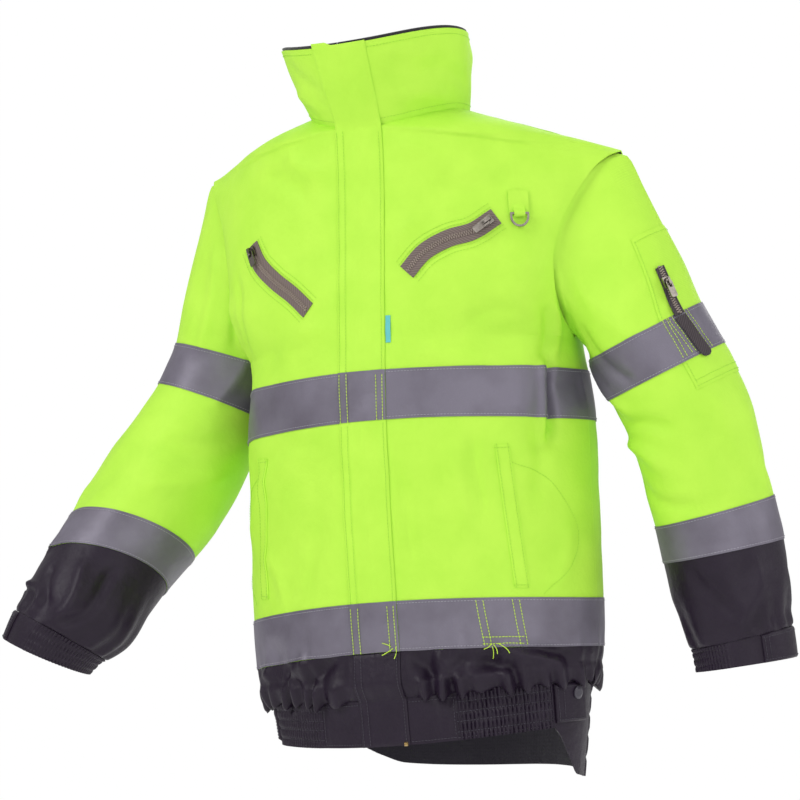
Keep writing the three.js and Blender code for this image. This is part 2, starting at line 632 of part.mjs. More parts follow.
function buildClosure() {
  const strip = [ZIP_SLACK - ZIP_HALF, ZIP_HALF - ZIP_SLACK];
  const zipGrid = easeBend(closureGrid(CLOSURE_LEVELS, ZIP_HEIGHTS, strip), CLOSURE_LEVELS.length - 1);
  add('front_zip', wall(zipGrid, -CLOTH, 0), ZIP_TAPE);
  const seam = CLOSURE_LEVELS.indexOf(HEM_TAPE_FOOT);
  const lower = CLOSURE_LEVELS.slice(0, seam).concat(HEM_TAPE_FOOT - HALF_GAP);
  const upper = [HEM_TAPE_FOOT + HALF_GAP].concat(CLOSURE_LEVELS.slice(seam + 1));
  add('storm_flap_lower', wall(closureGrid(lower, [], FLAP_COLUMNS), GAP, GAP + FLAP_WALL), NAVY);
  const flap = easeBend(closureGrid(upper, FLAP_HEIGHTS, FLAP_COLUMNS), upper.length - 1);
  add('storm_flap', wall(flap, GAP, GAP + FLAP_WALL), NEON);
  const over = 2 * GAP + FLAP_WALL;
  for (const [word, levels] of TAPE_BANDS) {
    add(`tape_${word}_flap`, wall(closureGrid(levels, [], FLAP_COLUMNS), over, over + TAPE), SILVER);
  }
}

// Sleeves

const SLEEVE_RINGS = ARMHOLE_LEVELS.length - 1;

// The armhole edge that a sleeve column meets. Columns run under the arm, front, top, back.
function armholeSpot(j) {
  const front = j <= SLEEVE_RINGS;
  const level = ARMHOLE_LEVELS[front ? j : 2 * SLEEVE_RINGS - j];
  return { face: front ? 'front' : 'back', level };
}

// A ring of the sleeve head, from its distance inside the armhole edge and its height over the body.
// The turn is how far the place is under the arm, from 1 at the bottom to 0 on the front and back.
function headRing(side, tuck, height) {
  return Array.from({ length: 2 * SLEEVE_RINGS }, (_, j) => {
    const { face, level } = armholeSpot(j);
    const share = (level - ARMPIT) / (SHOULDER - ARMPIT);
    const under = Math.max(0, 1 - share / UNDERARM_SHARE);
    const inside = tuck(under);
    const edge = plainPoint(face, side, level, bodyRow(face, level).length);
    const { n } = bodyPoint(face, side, level, bodyRow(face, level).length);
    const inner = plainPoint(face, side, level, bodyRow(face, level).length - TUCK).sub(edge).normalize();
    const way = inner.multiplyScalar(1 - under ** 2).add(new THREE.Vector3(0, 0, -under)).normalize();
    way.addScaledVector(n, -way.dot(n)).normalize();
    return edge.addScaledVector(way, inside).addScaledVector(n, height(under));
  });
}

function sleeveFrame(rows, run) {
  const read = (name, at = run) => readRows(rows, name, at, 'run');
  const place = (at) => new THREE.Vector3(read('x', at), read('y', at), read('z', at));
  const axis = place(run + 12).sub(place(run - 12)).normalize();
  const deepWay = new THREE.Vector3(0, 1, 0).addScaledVector(axis, -axis.y).normalize();
  const wideWay = axis.clone().cross(deepWay).normalize();
  wideWay.multiplyScalar(Math.sign(wideWay.x * read('x')));
  if (rows === RIGHT_SLEEVE) {
    const turn = THREE.MathUtils.degToRad(readRows(RIGHT_TURN, 'turn', run, 'run'));
    wideWay.addScaledVector(axis, Math.tan(turn));
  }
  return { centre: place(run), wideWay, deepWay, wide: read('wide'), deep: read('deep') };
}

function sleeveRing(rows, run) {
  const { centre, wideWay, deepWay, wide, deep } = sleeveFrame(rows, run);
  return Array.from({ length: 2 * SLEEVE_RINGS }, (_, j) => {
    const angle = Math.PI * j / SLEEVE_RINGS;
    return centre.clone()
      .addScaledVector(wideWay, -wide * Math.cos(angle))
      .addScaledVector(deepWay, -deep * Math.sin(angle));
  });
}

// The head bulges on its upper side, between its first and last columns from the underarm
const HEAD_STEPS = [0.22, 0.5, 0.76];
const HEAD_BULGE = 5;
const HEAD_FREE = 3;
const HIDDEN_RUN = 0;
const EDGE_RUN = 4;
const OVER_RUN = 8;

// The rings of one sleeve, from inside the armhole to the end of the cuff, keyed by run.
function sleeveRings(word, runs) {
  const { rows } = ARM[word];
  const side = word === 'left' ? 1 : -1;
  const below = -CLOTH - HEAD_CLEAR;
  const edge = headRing(side, () => -RIM_CLEAR, () => below);
  const over = headRing(side, (under) => -RIM_CLEAR * (2 - 1.5 * under),
    (under) => below + (RIM_CLEAR + 2 * HEAD_CLEAR) * Math.min(1, 1.5 * under));
  const first = sleeveRing(rows, rows[0].run);
  const { centre } = sleeveFrame(rows, rows[0].run);
  const hidden = headRing(side, () => TUCK, () => below);
  const rings = [
    { run: HIDDEN_RUN, ring: hidden },
    { run: EDGE_RUN, ring: edge },
    { run: OVER_RUN, ring: over },
  ];
  for (const step of HEAD_STEPS) {
    const ring = over.map((p, j) => {
      const q = p.clone().lerp(first[j], step);
      const away = q.clone().sub(centre).setY(q.y - centre.y).normalize();
      const upper = j > HEAD_FREE && j < 2 * SLEEVE_RINGS - HEAD_FREE;
      return q.addScaledVector(away, upper ? HEAD_BULGE * Math.sin(Math.PI * step) : 0);
    });
    rings.push({ run: rows[0].run * step, ring });
  }
  for (const run of runs) rings.push({ run, ring: sleeveRing(rows, run) });
  return withNormals(rings);
}

// All normals are turned together, so the wall keeps to one side where the head wraps the armhole's rim.
function withNormals(rings) {
  const count = rings[0].ring.length;
  const lines = rings.map(({ ring }, i) => {
    const up = rings[Math.max(0, i - 1)].ring;
    const down = rings[Math.min(rings.length - 1, i + 1)].ring;
    return ring.map((p, j) => {
      const around = ring[(j + 1) % count].clone().sub(ring[(j + count - 1) % count]);
      return { p, n: around.cross(down[j].clone().sub(up[j])).normalize() };
    });
  });
  const foot = lines[lines.length - 1];
  const centre = foot.reduce((sum, { p }) => sum.add(p), new THREE.Vector3()).divideScalar(count);
  const inward = foot[0].n.dot(foot[0].p.clone().sub(centre)) < 0;
  if (inward) lines.flat().forEach(({ n }) => n.negate());
  return rings.map(({ run }, i) => ({ run, line: lines[i] }));
}

// Rings between the bands of every sleeve: below the pocket patch, at the elbow and on the forearm
const SLEEVE_RUNS = [182, 215, 255, 375, 405];
const SAME_RUN = 0.01;
// Seams round a sleeve are a little wider, since its sections crowd on the outside of a bend
const SLEEVE_HALF_GAP = 0.27;

// The neon sleeve is cut in two, joined under the upper tape.
function buildSleeve(word) {
  const { rows, tape, lowTape, cuff } = ARM[word];
  const middle = (a, b) => (a + b) / 2;
  const tapeSeam = middle(...tape);
  const navySeam = lowTape[1];
  const bothSides = (run) => [run - SLEEVE_HALF_GAP, run + SLEEVE_HALF_GAP];
  const runs = [tape[0], ...bothSides(tapeSeam), tape[1], ...SLEEVE_RUNS, lowTape[0], middle(...lowTape),
    ...bothSides(navySeam), cuff[0] - SLEEVE_HALF_GAP];
  const rings = sleeveRings(word, runs.sort((a, b) => a - b));
  const part = (from, to) => rings
    .filter(({ run }) => run > from - SAME_RUN && run < to + SAME_RUN)
    .map(({ line }) => line);
  const forearm = part(navySeam + SLEEVE_HALF_GAP, cuff[0] - SLEEVE_HALF_GAP);
  const lower = part(tapeSeam + SLEEVE_HALF_GAP, navySeam - SLEEVE_HALF_GAP);
  add(`sleeve_${word}`, wall(part(0, tapeSeam - SLEEVE_HALF_GAP), -CLOTH, 0, { ring: true }), NEON);
  add(`sleeve_lower_${word}`, wall(lower, -CLOTH, 0, { ring: true }), NEON);
  add(`forearm_${word}`, wall(forearm, -CLOTH, 0, { ring: true }), NAVY);
  const patched = word === 'left' ? PATCH.columns : [];
  const lift = (i, j) => (patched.includes(j) ? PATCH_WALL + GAP : 0);
  const tapeLow = (i, j) => GAP + lift(i, j);
  const tapeHigh = (i, j) => GAP + TAPE + lift(i, j);
  add(`tape_arm_upper_${word}`, wall(part(...tape), tapeLow, tapeHigh, { ring: true }), SILVER);
  const low = part(lowTape[0], navySeam - SLEEVE_HALF_GAP);
  add(`tape_arm_lower_${word}`, wall(low, GAP, GAP + TAPE, { ring: true }), SILVER);
  buildCuff(word, rows, cuff);
  return { rings, part };
}

// A cuff: plain on the outside, with elastic ribs on the side towards the body.
function buildCuff(word, rows, [top, foot]) {
  const angles = cuffAngles();
  const line = (run) => {
    const { centre, wideWay, deepWay, wide, deep } = sleeveFrame(rows, run);
    return angles.map((angle) => {
      const n = wideWay.clone().multiplyScalar(-Math.cos(angle) / wide)
        .addScaledVector(deepWay, -Math.sin(angle) / deep).normalize();
      const p = centre.clone().addScaledVector(wideWay, -wide * Math.cos(angle))
        .addScaledVector(deepWay, -deep * Math.sin(angle));
      return { p, n };
    });
  };
  const grid = [top + HALF_GAP, (top + foot) / 2, foot].map(line);
  const ridge = (i, j) => (j < 2 * CUFF_RIBS && j % 2 ? RIB_HEIGHT : 0);
  add(`cuff_${word}`, wall(grid, -CLOTH, ridge, { ring: true }), NAVY);
  const strap = grid.map((row) => row.slice(2 * CUFF_RIBS + 2, -1));
  add(`cuff_tab_${word}`, wall(strap, GAP, GAP + CLOTH), NAVY);
}

// Rib columns over the inner side from front to back, then wider plain ones over the outer side.
const RIB_START = -0.32 * Math.PI;
const RIB_SPAN = 0.86 * Math.PI;
const PLAIN_COLUMNS = 12;

function cuffAngles() {
  const rest = 2 * Math.PI - RIB_SPAN;
  const ribAt = (_, i) => RIB_START + RIB_SPAN * i / (2 * CUFF_RIBS);
  const plainAt = (_, i) => RIB_START + RIB_SPAN + rest * i / PLAIN_COLUMNS;
  return [...Array.from({ length: 2 * CUFF_RIBS }, ribAt), ...Array.from({ length: PLAIN_COLUMNS }, plainAt)];
}

// Sleeve pocket: a patch on the outer front of the wearer's left sleeve, closed by a zip with a garage.

const PATCH_WALL = 1.2;
const PATCH = { columns: [7, 8, 9, 10, 11, 12], from: 50, to: 182 };

function buildSleevePocket({ part }) {
  const crop = (grid) => grid.map((line) => PATCH.columns.map((j) => line[j]));
  add('sleeve_pocket', wall(crop(part(PATCH.from, PATCH.to)), GAP, GAP + PATCH_WALL), NEON);
}

// Joins overlapping solids into one.
function join(geometries) {
  const solids = geometries.map((geometry) => {
    const bare = geometry.clone();
    bare.deleteAttribute('normal');
    bare.deleteAttribute('uv');
    const merged = mergeVertices(bare);
    return new wasm.Manifold(new wasm.Mesh({
      numProp: 3,
      vertProperties: merged.attributes.position.array,
      triVerts: Uint32Array.from(merged.index.array),
    }));
  });
  const whole = solids.reduce((sum, solid) => sum.add(solid)).getMesh();
  const geometry = new THREE.BufferGeometry();
  geometry.setAttribute('position', new THREE.BufferAttribute(whole.vertProperties, 3));
  geometry.setIndex(new THREE.BufferAttribute(whole.triVerts, 1));
  return geometry;
}

function box(width, length, height, x, y, z) {
  return new THREE.BoxGeometry(width, length, height).translate(x, y, z);
}

// A closed outline with holes, given depth along its third axis, centred on it.
function slab(outline, holes, depth) {
  const points = outline.map(([x, y]) => new THREE.Vector2(x, y));
  const shape = new THREE.Shape(THREE.ShapeUtils.isClockWise(points) ? points.reverse() : points);
  holes.forEach((hole) => shape.holes.push(new THREE.Path(hole.map(([x, y]) => new THREE.Vector2(x, y)))));
  return new THREE.ExtrudeGeometry(shape, { depth, bevelEnabled: false }).translate(0, 0, -depth / 2);
}

// An upright outline with cut-off corners, two cuts to a corner.
const CORNER_CUT = 0.3;

function rounded(width, top, foot, corner) {
  const half = width / 2;
  const cut = corner * CORNER_CUT;
  return [[-half, top - corner], [-half + cut, top - cut], [-half + corner, top], [half - corner, top],
    [half - cut, top - cut], [half, top - corner], [half, foot + corner], [half - cut, foot + cut],
    [half - corner, foot], [-half + corner, foot], [-half + cut, foot + cut], [-half, foot + corner]];
}

// A place on a front, found from its position across and its height.
const SPOT_TRIES = 14;

function frontSpot(x, z) {
  const side = x < 0 ? -1 : 1;
  let level = z;
  let distance = Math.abs(x);
  for (let i = 0; i < SPOT_TRIES; i += 1) {
    const p = plainPoint('front', side, level, distance);
    level += z - p.z;
    distance += side * (x - p.x);
  }
  return bodyPoint('front', side, level, distance);
}

// A slider and its pull tab. The frame's x runs across the zip, y up it and z out of the cloth.
const SLIDER = { wide: 9, long: 11, thick: 2.4 };
const ARCH = { long: 8.4, high: 4.2, wall: 1.1, wide: 2.4, corner: 1, hollowCorner: 0.6 };
const PULL = { wide: 7.5, long: 17, thick: 1.2, bar: 0.7, window: 3.6, windowLong: 6.4, corner: 1.6 };
const PULL_RISE = 1.5;

// An outline with its two upper corners cut off.
function arched(half, low, tall, corner) {
  return [[-half, low], [half, low], [half, tall - corner], [half - corner, tall], [corner - half, tall],
    [-half, tall - corner]];
}

function buildSlider(name, pullName, spot, upward, height) {
  const frame = spotFrame(spot, upward);
  const base = height + SLIDER.thick / 2;
  const plate = box(SLIDER.wide, SLIDER.long, SLIDER.thick, 0, 0, base);
  const half = ARCH.long / 2;
  const outline = arched(half, -SLIDER.thick / 2, ARCH.high, ARCH.corner);
  const hole = arched(half - ARCH.wall, 0, ARCH.high - ARCH.wall, ARCH.hollowCorner);
  const arch = slab(outline, [hole], ARCH.wide);
  arch.applyMatrix4(new THREE.Matrix4().makeBasis(
    new THREE.Vector3(0, 1, 0), new THREE.Vector3(0, 0, 1), new THREE.Vector3(1, 0, 0)));
  arch.translate(0, 0, height + SLIDER.thick);
  add(name, join([plate, arch]).applyMatrix4(frame), METAL, 0.4, 0.9);
  const window = PULL.window / 2;
  const opening = [
    [-window, -PULL.bar], [window, -PULL.bar], [window, -PULL.windowLong], [-window, -PULL.windowLong]];
  const pull = slab(rounded(PULL.wide, PULL.bar, -PULL.long, PULL.corner), [opening], PULL.thick);
  const mesh = add(pullName, pull, METAL, 0.4, 0.9);
  const hinge = new THREE.Matrix4().makeTranslation(0, 0, height + SLIDER.thick + PULL_RISE);
  frame.clone().multiply(hinge).decompose(mesh.position, mesh.quaternion, mesh.scale);
}

// Slanting chest pockets: a zip between its two ends, with the slider at the upper outer one.
const CHEST_ZIPS = {
  right: [
    { x: -137, z: -126 },
    { x: -124, z: -147 },
    { x: -104, z: -165 },
    { x: -82, z: -181 },
    { x: -62, z: -199 },
  ],
  left: [
    { x: 137, z: -118 },
    { x: 116, z: -132 },
    { x: 92, z: -138 },
    { x: 68, z: -150 },
    { x: 50, z: -169 },
  ],
};
const CHEST_ZIP = { half: 9, coil: 2.6, thick: 1.2, coilHigh: 1.1, steps: 10, sliderShare: 0.09 };

function buildChestPocket(word) {
  const path = new THREE.CatmullRomCurve3(CHEST_ZIPS[word].map(({ x, z }) => new THREE.Vector3(x, 0, z)));
  const { half, coil, thick, coilHigh, steps } = CHEST_ZIP;
  const grid = Array.from({ length: steps + 1 }, (_, i) => {
    const middle = path.getPoint(i / steps);
    const way = path.getTangent(i / steps);
    return [-half, -coil, coil, half].map((off) => frontSpot(middle.x - way.z * off, middle.z + way.x * off));
  });
  const high = (i, j) => SEAT + thick + (j === 1 || j === 2 ? coilHigh : 0);
  add(`chest_zip_${word}`, wall(grid, SEAT, high), ZIP_TAPE);
  const at = path.getPoint(CHEST_ZIP.sliderShare);
  const upward = path.getTangent(CHEST_ZIP.sliderShare).negate();
  buildSlider(`chest_slider_${word}`, `chest_pull_${word}`, frontSpot(at.x, at.z), upward,
    SEAT + thick + coilHigh + GAP);
}

// Slanting welts of the hand pockets, and the small woven tab in the flap's seam.
const HAND_POCKET = { topX: 127, topZ: -344, footX: 138, footZ: -486, steps: 6 };
const WELT = { wide: 12, seat: 0.8, thick: 1.2 };
const LABEL = { x0: 27, x1: 33, top: -211, foot: -238, thick: 1.0 };

function buildHandPocket(word, side) {
  const { topX, topZ, footX, footZ, steps } = HAND_POCKET;
  const grid = Array.from({ length: steps + 1 }, (_, i) => {
    const t = i / steps;
    const x = side * (topX + (footX - topX) * t);
    return [0, 0.5, 1].map((share) => frontSpot(x + side * share * WELT.wide, topZ + (footZ - topZ) * t));
  });
  add(`hand_pocket_${word}`, wall(grid, WELT.seat, WELT.seat + WELT.thick), NEON);
}

function buildLabel() {
  const grid = [LABEL.foot, (LABEL.foot + LABEL.top) / 2, LABEL.top].map(
    (z) => [LABEL.x0, LABEL.x1].map((x) => frontSpot(x, z)));
  add('side_label', wall(grid, SEAT, SEAT + LABEL.thick), TURQUOISE);
}

// D-ring on the wearer's left chest, hanging by its straight bar from the loop of a sewn tab.
const RING = { x: 157, z: -117, wide: 19, drop: 14, wire: 2.0, straight: 0.25, sides: 14 };
const RING_LOOP = { wide: 11, outer: 3.4, inner: 2.0, reach: 10 };
const RING_TAB = { wide: 20, tall: 24, thick: 1.0, below: 1, sink: 0.4 };

// Points on part of a circle.
function circlePoints(radius, from, to, count) {
  return Array.from({ length: count + 1 }, (_, i) => {
    const angle = from + (to - from) * i / count;
    return [radius * Math.cos(angle), radius * Math.sin(angle)];
  });
}

// The ring's outline, or that of its window: a straight top and a deep round bend.
function ringOutline(inset) {
  const half = RING.wide / 2 - inset;
  const foot = RING.drop - inset;
  const top = inset ? -RING.wire / 2 : RING.wire / 2;
  const bend = circlePoints(1, Math.PI, 2 * Math.PI, RING.sides)
    .map(([c, d]) => [half * c, foot * ((1 - RING.straight) * d - RING.straight)]);
  return [[half, top], [-half, top], ...bend];
}

function buildRing() {
  const frame = spotFrame(frontSpot(RING.x, RING.z));
  const barHeight = RING_LOOP.outer + SEAT + RING_TAB.thick;
  const hole = circlePoints(RING_LOOP.inner, 0, 2 * Math.PI, RING.sides).slice(0, -1);
  const outline = [
    ...circlePoints(RING_LOOP.outer, -Math.PI, Math.PI / 2, RING.sides), [-RING_LOOP.outer, RING_LOOP.reach]];
  const loop = slab(outline, [hole.reverse()], RING_LOOP.wide);
  loop.applyMatrix4(new THREE.Matrix4().makeBasis(
    new THREE.Vector3(0, 0, 1), new THREE.Vector3(0, 1, 0), new THREE.Vector3(-1, 0, 0)));
  loop.translate(0, 0, barHeight);
  const patch = box(RING_TAB.wide, RING_TAB.tall, RING_TAB.thick,
    0, RING_TAB.tall / 2 + RING_TAB.below, SEAT + RING_TAB.thick / 2 + RING_TAB.sink);
  add('ring_tab', join([loop, patch]).applyMatrix4(frame), NEON);
  const ring = slab(ringOutline(0), [ringOutline(RING.wire).reverse()], RING.wire);
  const mesh = add('d_ring', ring, METAL, 0.35, 0.95);
  frame.clone().multiply(new THREE.Matrix4().makeTranslation(0, 0, barHeight))
    .decompose(mesh.position, mesh.quaternion, mesh.scale);
}

// The sleeve pocket's zip runs down the arm over the upper tape, into a garage at its lower end.
// Widths and the slant are in sleeve columns, each a twentieth of the way round.
const SLEEVE_ZIP = { top: 72, column: 7.92, slant: 0.0053, half: 0.28, coil: 0.12, slider: 82 };
const ZIP_RUNS = [72, 78, 84, 90, 94, 98, 102];
const GARAGE = { half: 0.33, thick: 2.0 };
const GARAGE_RUNS = [104, 115, 128, 141, 147, 151, 155];
const TAPE_SLOPE = 8;

function sleeveSpot(rings, run, at) {
  const last = rings.length - 1;
  let i = 0;
  while (i < last - 1 && rings[i + 1].run < run) i += 1;
  const t = THREE.MathUtils.clamp((run - rings[i].run) / (rings[i + 1].run - rings[i].run), 0, 1);
  const j = Math.floor(at);
  const blend = (name) => {
    const mixed = (line) => line[j][name].clone().lerp(line[j + 1][name], at - j);
    return mixed(rings[i].line).lerp(mixed(rings[i + 1].line), t);
  };
  return { p: blend('p'), n: blend('n').normalize() };
}

// Height of the zip over the sleeve's wall: over the patch, and higher where it passes the tape.
function zipSeat(run) {
  const [tapeTop, tapeFoot] = ARM.left.tape;
  const rise = THREE.MathUtils.smoothstep(run, tapeTop - TAPE_SLOPE - 2, tapeTop - 2);
  const fall = THREE.MathUtils.smoothstep(run, tapeFoot + 2, tapeFoot + TAPE_SLOPE + 2);
  return 2 * GAP + PATCH_WALL + SEAT + rise * (1 - fall) * (TAPE + GAP);
}

function buildSleeveZip({ rings }) {
  const { half, coil, slider } = SLEEVE_ZIP;
  const { thick, coilHigh } = CHEST_ZIP;
  const spotAt = (run, off = 0) => sleeveSpot(
    rings, run, SLEEVE_ZIP.column + SLEEVE_ZIP.slant * (run - SLEEVE_ZIP.top) + off);
  const strip = (runs, offsets) => runs.map((run) => offsets.map((off) => spotAt(run, off)));
  const zip = strip(ZIP_RUNS, [-half, -coil, coil, half]);
  const high = (i, j) => zipSeat(ZIP_RUNS[i]) + thick + (j === 1 || j === 2 ? coilHigh : 0);
  add('sleeve_zip', wall(zip, (i) => zipSeat(ZIP_RUNS[i]), high), ZIP_TAPE);
  const garage = strip(GARAGE_RUNS, [-1, -0.5, 0, 0.5, 1].map((share) => share * GARAGE.half));
  const garageHigh = (i) => zipSeat(GARAGE_RUNS[i]) + GARAGE.thick;
  add('sleeve_zip_garage', wall(garage, (i) => zipSeat(GARAGE_RUNS[i]), garageHigh), ZIP_TAPE);
  const spot = spotAt(slider);
  const upward = spotAt(slider - 10).p.sub(spot.p);
  buildSlider('sleeve_slider', 'sleeve_pull', spot, upward, zipSeat(slider) + thick + coilHigh + GAP);
}

buildFronts();
buildBack();
buildLowerPanels();
buildBodyTapes();
buildWaistband();
buildCollar();
buildClosure();
const leftSleeve = buildSleeve('left');
buildSleeve('right');
buildSleevePocket(leftSleeve);
buildSleeveZip(leftSleeve);
buildChestPocket('left');
buildChestPocket('right');
buildHandPocket('left', 1);
buildHandPocket('right', -1);
buildLabel();
buildRing();

export default jacket;
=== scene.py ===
"""Looks of a hi-vis work jacket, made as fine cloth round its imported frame.

Sizes are in millimetres and become metres where a mesh is made. +Z is up, the jacket faces -Y,
and +X is the wearer's left. The origin is the middle of the neck base at shoulder height.
"""
import functools
import math

import bpy
import numpy as np
from mathutils import Matrix, Vector


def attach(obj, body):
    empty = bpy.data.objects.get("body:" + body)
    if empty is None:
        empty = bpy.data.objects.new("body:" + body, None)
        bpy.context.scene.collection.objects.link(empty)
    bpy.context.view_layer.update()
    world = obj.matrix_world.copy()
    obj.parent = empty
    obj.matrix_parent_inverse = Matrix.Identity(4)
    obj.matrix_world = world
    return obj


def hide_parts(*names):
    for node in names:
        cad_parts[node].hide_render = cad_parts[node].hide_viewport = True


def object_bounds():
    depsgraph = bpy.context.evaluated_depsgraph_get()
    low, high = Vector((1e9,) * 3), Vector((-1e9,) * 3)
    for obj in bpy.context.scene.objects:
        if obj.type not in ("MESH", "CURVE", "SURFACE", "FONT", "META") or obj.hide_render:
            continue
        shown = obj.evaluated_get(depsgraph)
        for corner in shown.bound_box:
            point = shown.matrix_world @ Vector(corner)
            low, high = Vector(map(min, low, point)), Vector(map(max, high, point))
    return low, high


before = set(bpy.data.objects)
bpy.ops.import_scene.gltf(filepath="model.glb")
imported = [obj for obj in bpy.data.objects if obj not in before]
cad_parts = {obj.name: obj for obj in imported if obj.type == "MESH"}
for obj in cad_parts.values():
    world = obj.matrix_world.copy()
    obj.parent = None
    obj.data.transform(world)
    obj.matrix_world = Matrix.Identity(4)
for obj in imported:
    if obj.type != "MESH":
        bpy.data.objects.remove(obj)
CAD_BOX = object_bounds()
MM = 0.001
GARMENT = "garment"


def table(names, *rows):
    """Rows of a table with named columns."""
    keys = names.split()
    return [dict(zip(keys, row)) for row in rows]


# Cloth and seams
CLOTH = 2.0
THIN_CLOTH = 1.4
TAPE = 0.6
GAP = 0.3
SEAT = 0.5

# Heights of the rows across the body, measured down the centre front
NECK = -19
SHOULDER = 19
SHOULDER_GAP = 0.25
ARMPIT = -235
CHEST_TAPE = (-315, -265)
HEM_TAPE = (-545, -495)
WAIST_SEAM = -592
HEM = -638

# Widths measured along the cloth from the centre front
ZIP_HALF = 3
FLAP_HALF = 26
PLAIN_END = 76
ELASTIC_END = 176
RIB_PITCH = 4.2
RIB_HEIGHT = 1.9

NECK_RING = {"y": -44, "wide": 82, "deep": 76, "front_z": -19, "side_z": 2, "back_z": 8}
COLLAR_RING = {"y": -75, "wide": 97, "deep": 86, "front_z": 58, "side_z": 73, "back_z": 78}
COLLAR_BOW = 2
COLLAR_LIFT = 6
COLLAR_OPEN = 2.4
FLAP_TURN = 17.5

BODY_ROWS = table(
    "level front_y front_z back_y back_z",
    (-638, -113, -638, 110, -640),
    (-592, -115, -592, 112, -596),
    (-572, -124, -574, 119, -576),
    (-545, -122, -545, 121, -549),
    (-495, -124, -495, 124, -499),
    (-400, -130, -400, 132, -402),
    (-315, -132, -315, 136, -316),
    (-265, -131, -265, 136, -265),
    (-235, -129, -235, 135, -233),
    (-186, -126, -186, 130, -180),
    (-130, -122, -130, 118, -115),
    (-74, -119, -74, 88, -40),
    (-46, -119, -46, 62, -10),
    (-19, -120, -19, 32, 8),
)
SIDE_ROWS = table(
    "level side_x side_z",
    (-638, 165, -628),
    (-592, 171, -584),
    (-572, 182, -570),
    (-545, 187, -552),
    (-495, 189, -503),
    (-400, 188, -407),
    (-315, 187, -323),
    (-265, 180, -271),
    (-235, 175, -238),
)
ARMHOLE_ROWS = table(
    "level front_x front_y front_z front_turn back_x back_y back_z back_turn",
    (-235, 175, 0, -238, 90, 175, 0, -238, 90),
    (-212, 178, -38, -214, 84, 177, 30, -216, 86),
    (-186, 181, -58, -187, 76, 179, 48, -190, 78),
    (-158, 183, -63, -158, 68, 183, 58, -161, 70),
    (-130, 188, -58, -130, 60, 190, 60, -132, 60),
    (-102, 197, -47, -104, 52, 199, 54, -106, 50),
    (-74, 208, -36, -80, 44, 210, 44, -82, 40),
    (-46, 217, -26, -63, 34, 219, 33, -65, 30),
    (-19, 224, -15, -53, 25, 226, 23, -55, 20),
    (0, 229, -5, -48, 18, 230, 15, -50, 12),
    (19, 232, 6, -45, 12, 232, 6, -45, -12),
)
ARMHOLE_LEVELS = [row["level"] for row in ARMHOLE_ROWS]
HANG_ROWS = table(
    "level lift shift",
    (-638, 6, 5),
    (-592, 7, 3),
    (-495, 6, 0),
    (-290, 4, 0),
    (-130, 0, 0),
    (-19, -4, 0),
    (19, -4, 0),
)
LIFT_ARM = 190

# The longer tail of the back waistband, from the right side seam, -1, to the left one, 1, and past it
TAIL_ROWS = table(
    "at drop",
    (-1, -5),
    (-0.8, -5),
    (-0.62, 1),
    (-0.5, 12),
    (-0.38, 20),
    (0, 24),
    (0.3, 28),
    (0.6, 37),
    (0.85, 52),
    (1, 50),
    (1.1, 30),
    (1.2, 3),
    (1.23, 0),
)
TAIL_TUCK = 0.16
TAIL_EASE = 1.3
TAIL_SEAM = 0.1

SLEEVES = {
    "left": table(
        "run x y z wide deep",
        (100, 245, 20, -232, 60, 68),
        (150, 262, 30, -274, 63, 68),
        (215, 284, 42, -333, 63, 67),
        (265, 291, 50, -385, 61, 64),
        (297, 297, 55, -414, 61, 62),
        (347, 303, 61, -455, 61, 62),
        (385, 308, 65, -494, 60, 61),
        (420, 312, 68, -528, 52, 55),
        (434, 315, 70, -542, 51, 52),
        (462, 318, 72, -569, 50, 50),
    ),
    "right": table(
        "run x y z wide deep",
        (100, -234, 28, -228, 57, 66),
        (150, -252, 21, -276, 60, 67),
        (215, -283, -2, -340, 68, 69),
        (265, -306, -25, -388, 69, 68),
        (310, -329, -50, -429, 64, 65),
        (358, -346, -69, -462, 63, 63),
        (395, -357, -88, -492, 60, 61),
        (420, -369, -95, -506, 54, 56),
        (432, -376, -99, -514, 52, 53),
        (462, -391, -103, -535, 47, 49),
    ),
}
ARM_TAPE = (100, 150)
LOW_ARM_TAPE = {"left": (297, 347), "right": (292, 340)}
CUFF = {"left": (434, 462), "right": (432, 462)}
# How far each section of the wearer's right sleeve leans from square, in degrees
RIGHT_TURN = table(
    "run turn",
    (100, 4),
    (150, 4),
    (215, 12),
    (292, 17),
    (340, 17),
    (432, 11),
)
SLEEVE_COLUMNS = 20
AROUND = 390
TUCK = 8
HEAD_CLEAR = 2.0
RIM_CLEAR = 3.5
UNDERARM_SHARE = 0.35
HEAD_STEPS = (0.22, 0.5, 0.76)
HEAD_BULGE = 5
HEAD_FREE = 3

# Large folds that the solids have too: from one point to another, across and up, then size
FOLDS = table(
    "face side x0 z0 x1 z1 width depth",
    ("front", 1, 158, -170, 150, -300, 16, 5),
    ("front", 1, 172, -285, 168, -340, 12, -7),
    ("front", 1, 60, -330, 90, -470, 26, 3),
    ("front", -1, 150, -200, 140, -330, 20, 4),
    ("front", -1, 60, -360, 110, -480, 28, -3),
    ("front", -1, 130, -545, 120, -590, 14, -6),
    ("front", 1, 60, -550, 70, -590, 13, -6),
    ("front", 1, 120, -550, 104, -590, 13, -5),
    ("back", 1, 60, -140, 30, -300, 26, 4),
    ("back", -1, 60, -150, 35, -320, 26, 4),
    ("back", 1, 90, -552, 84, -592, 16, -6),
    ("back", -1, 90, -552, 96, -592, 16, -6),
)

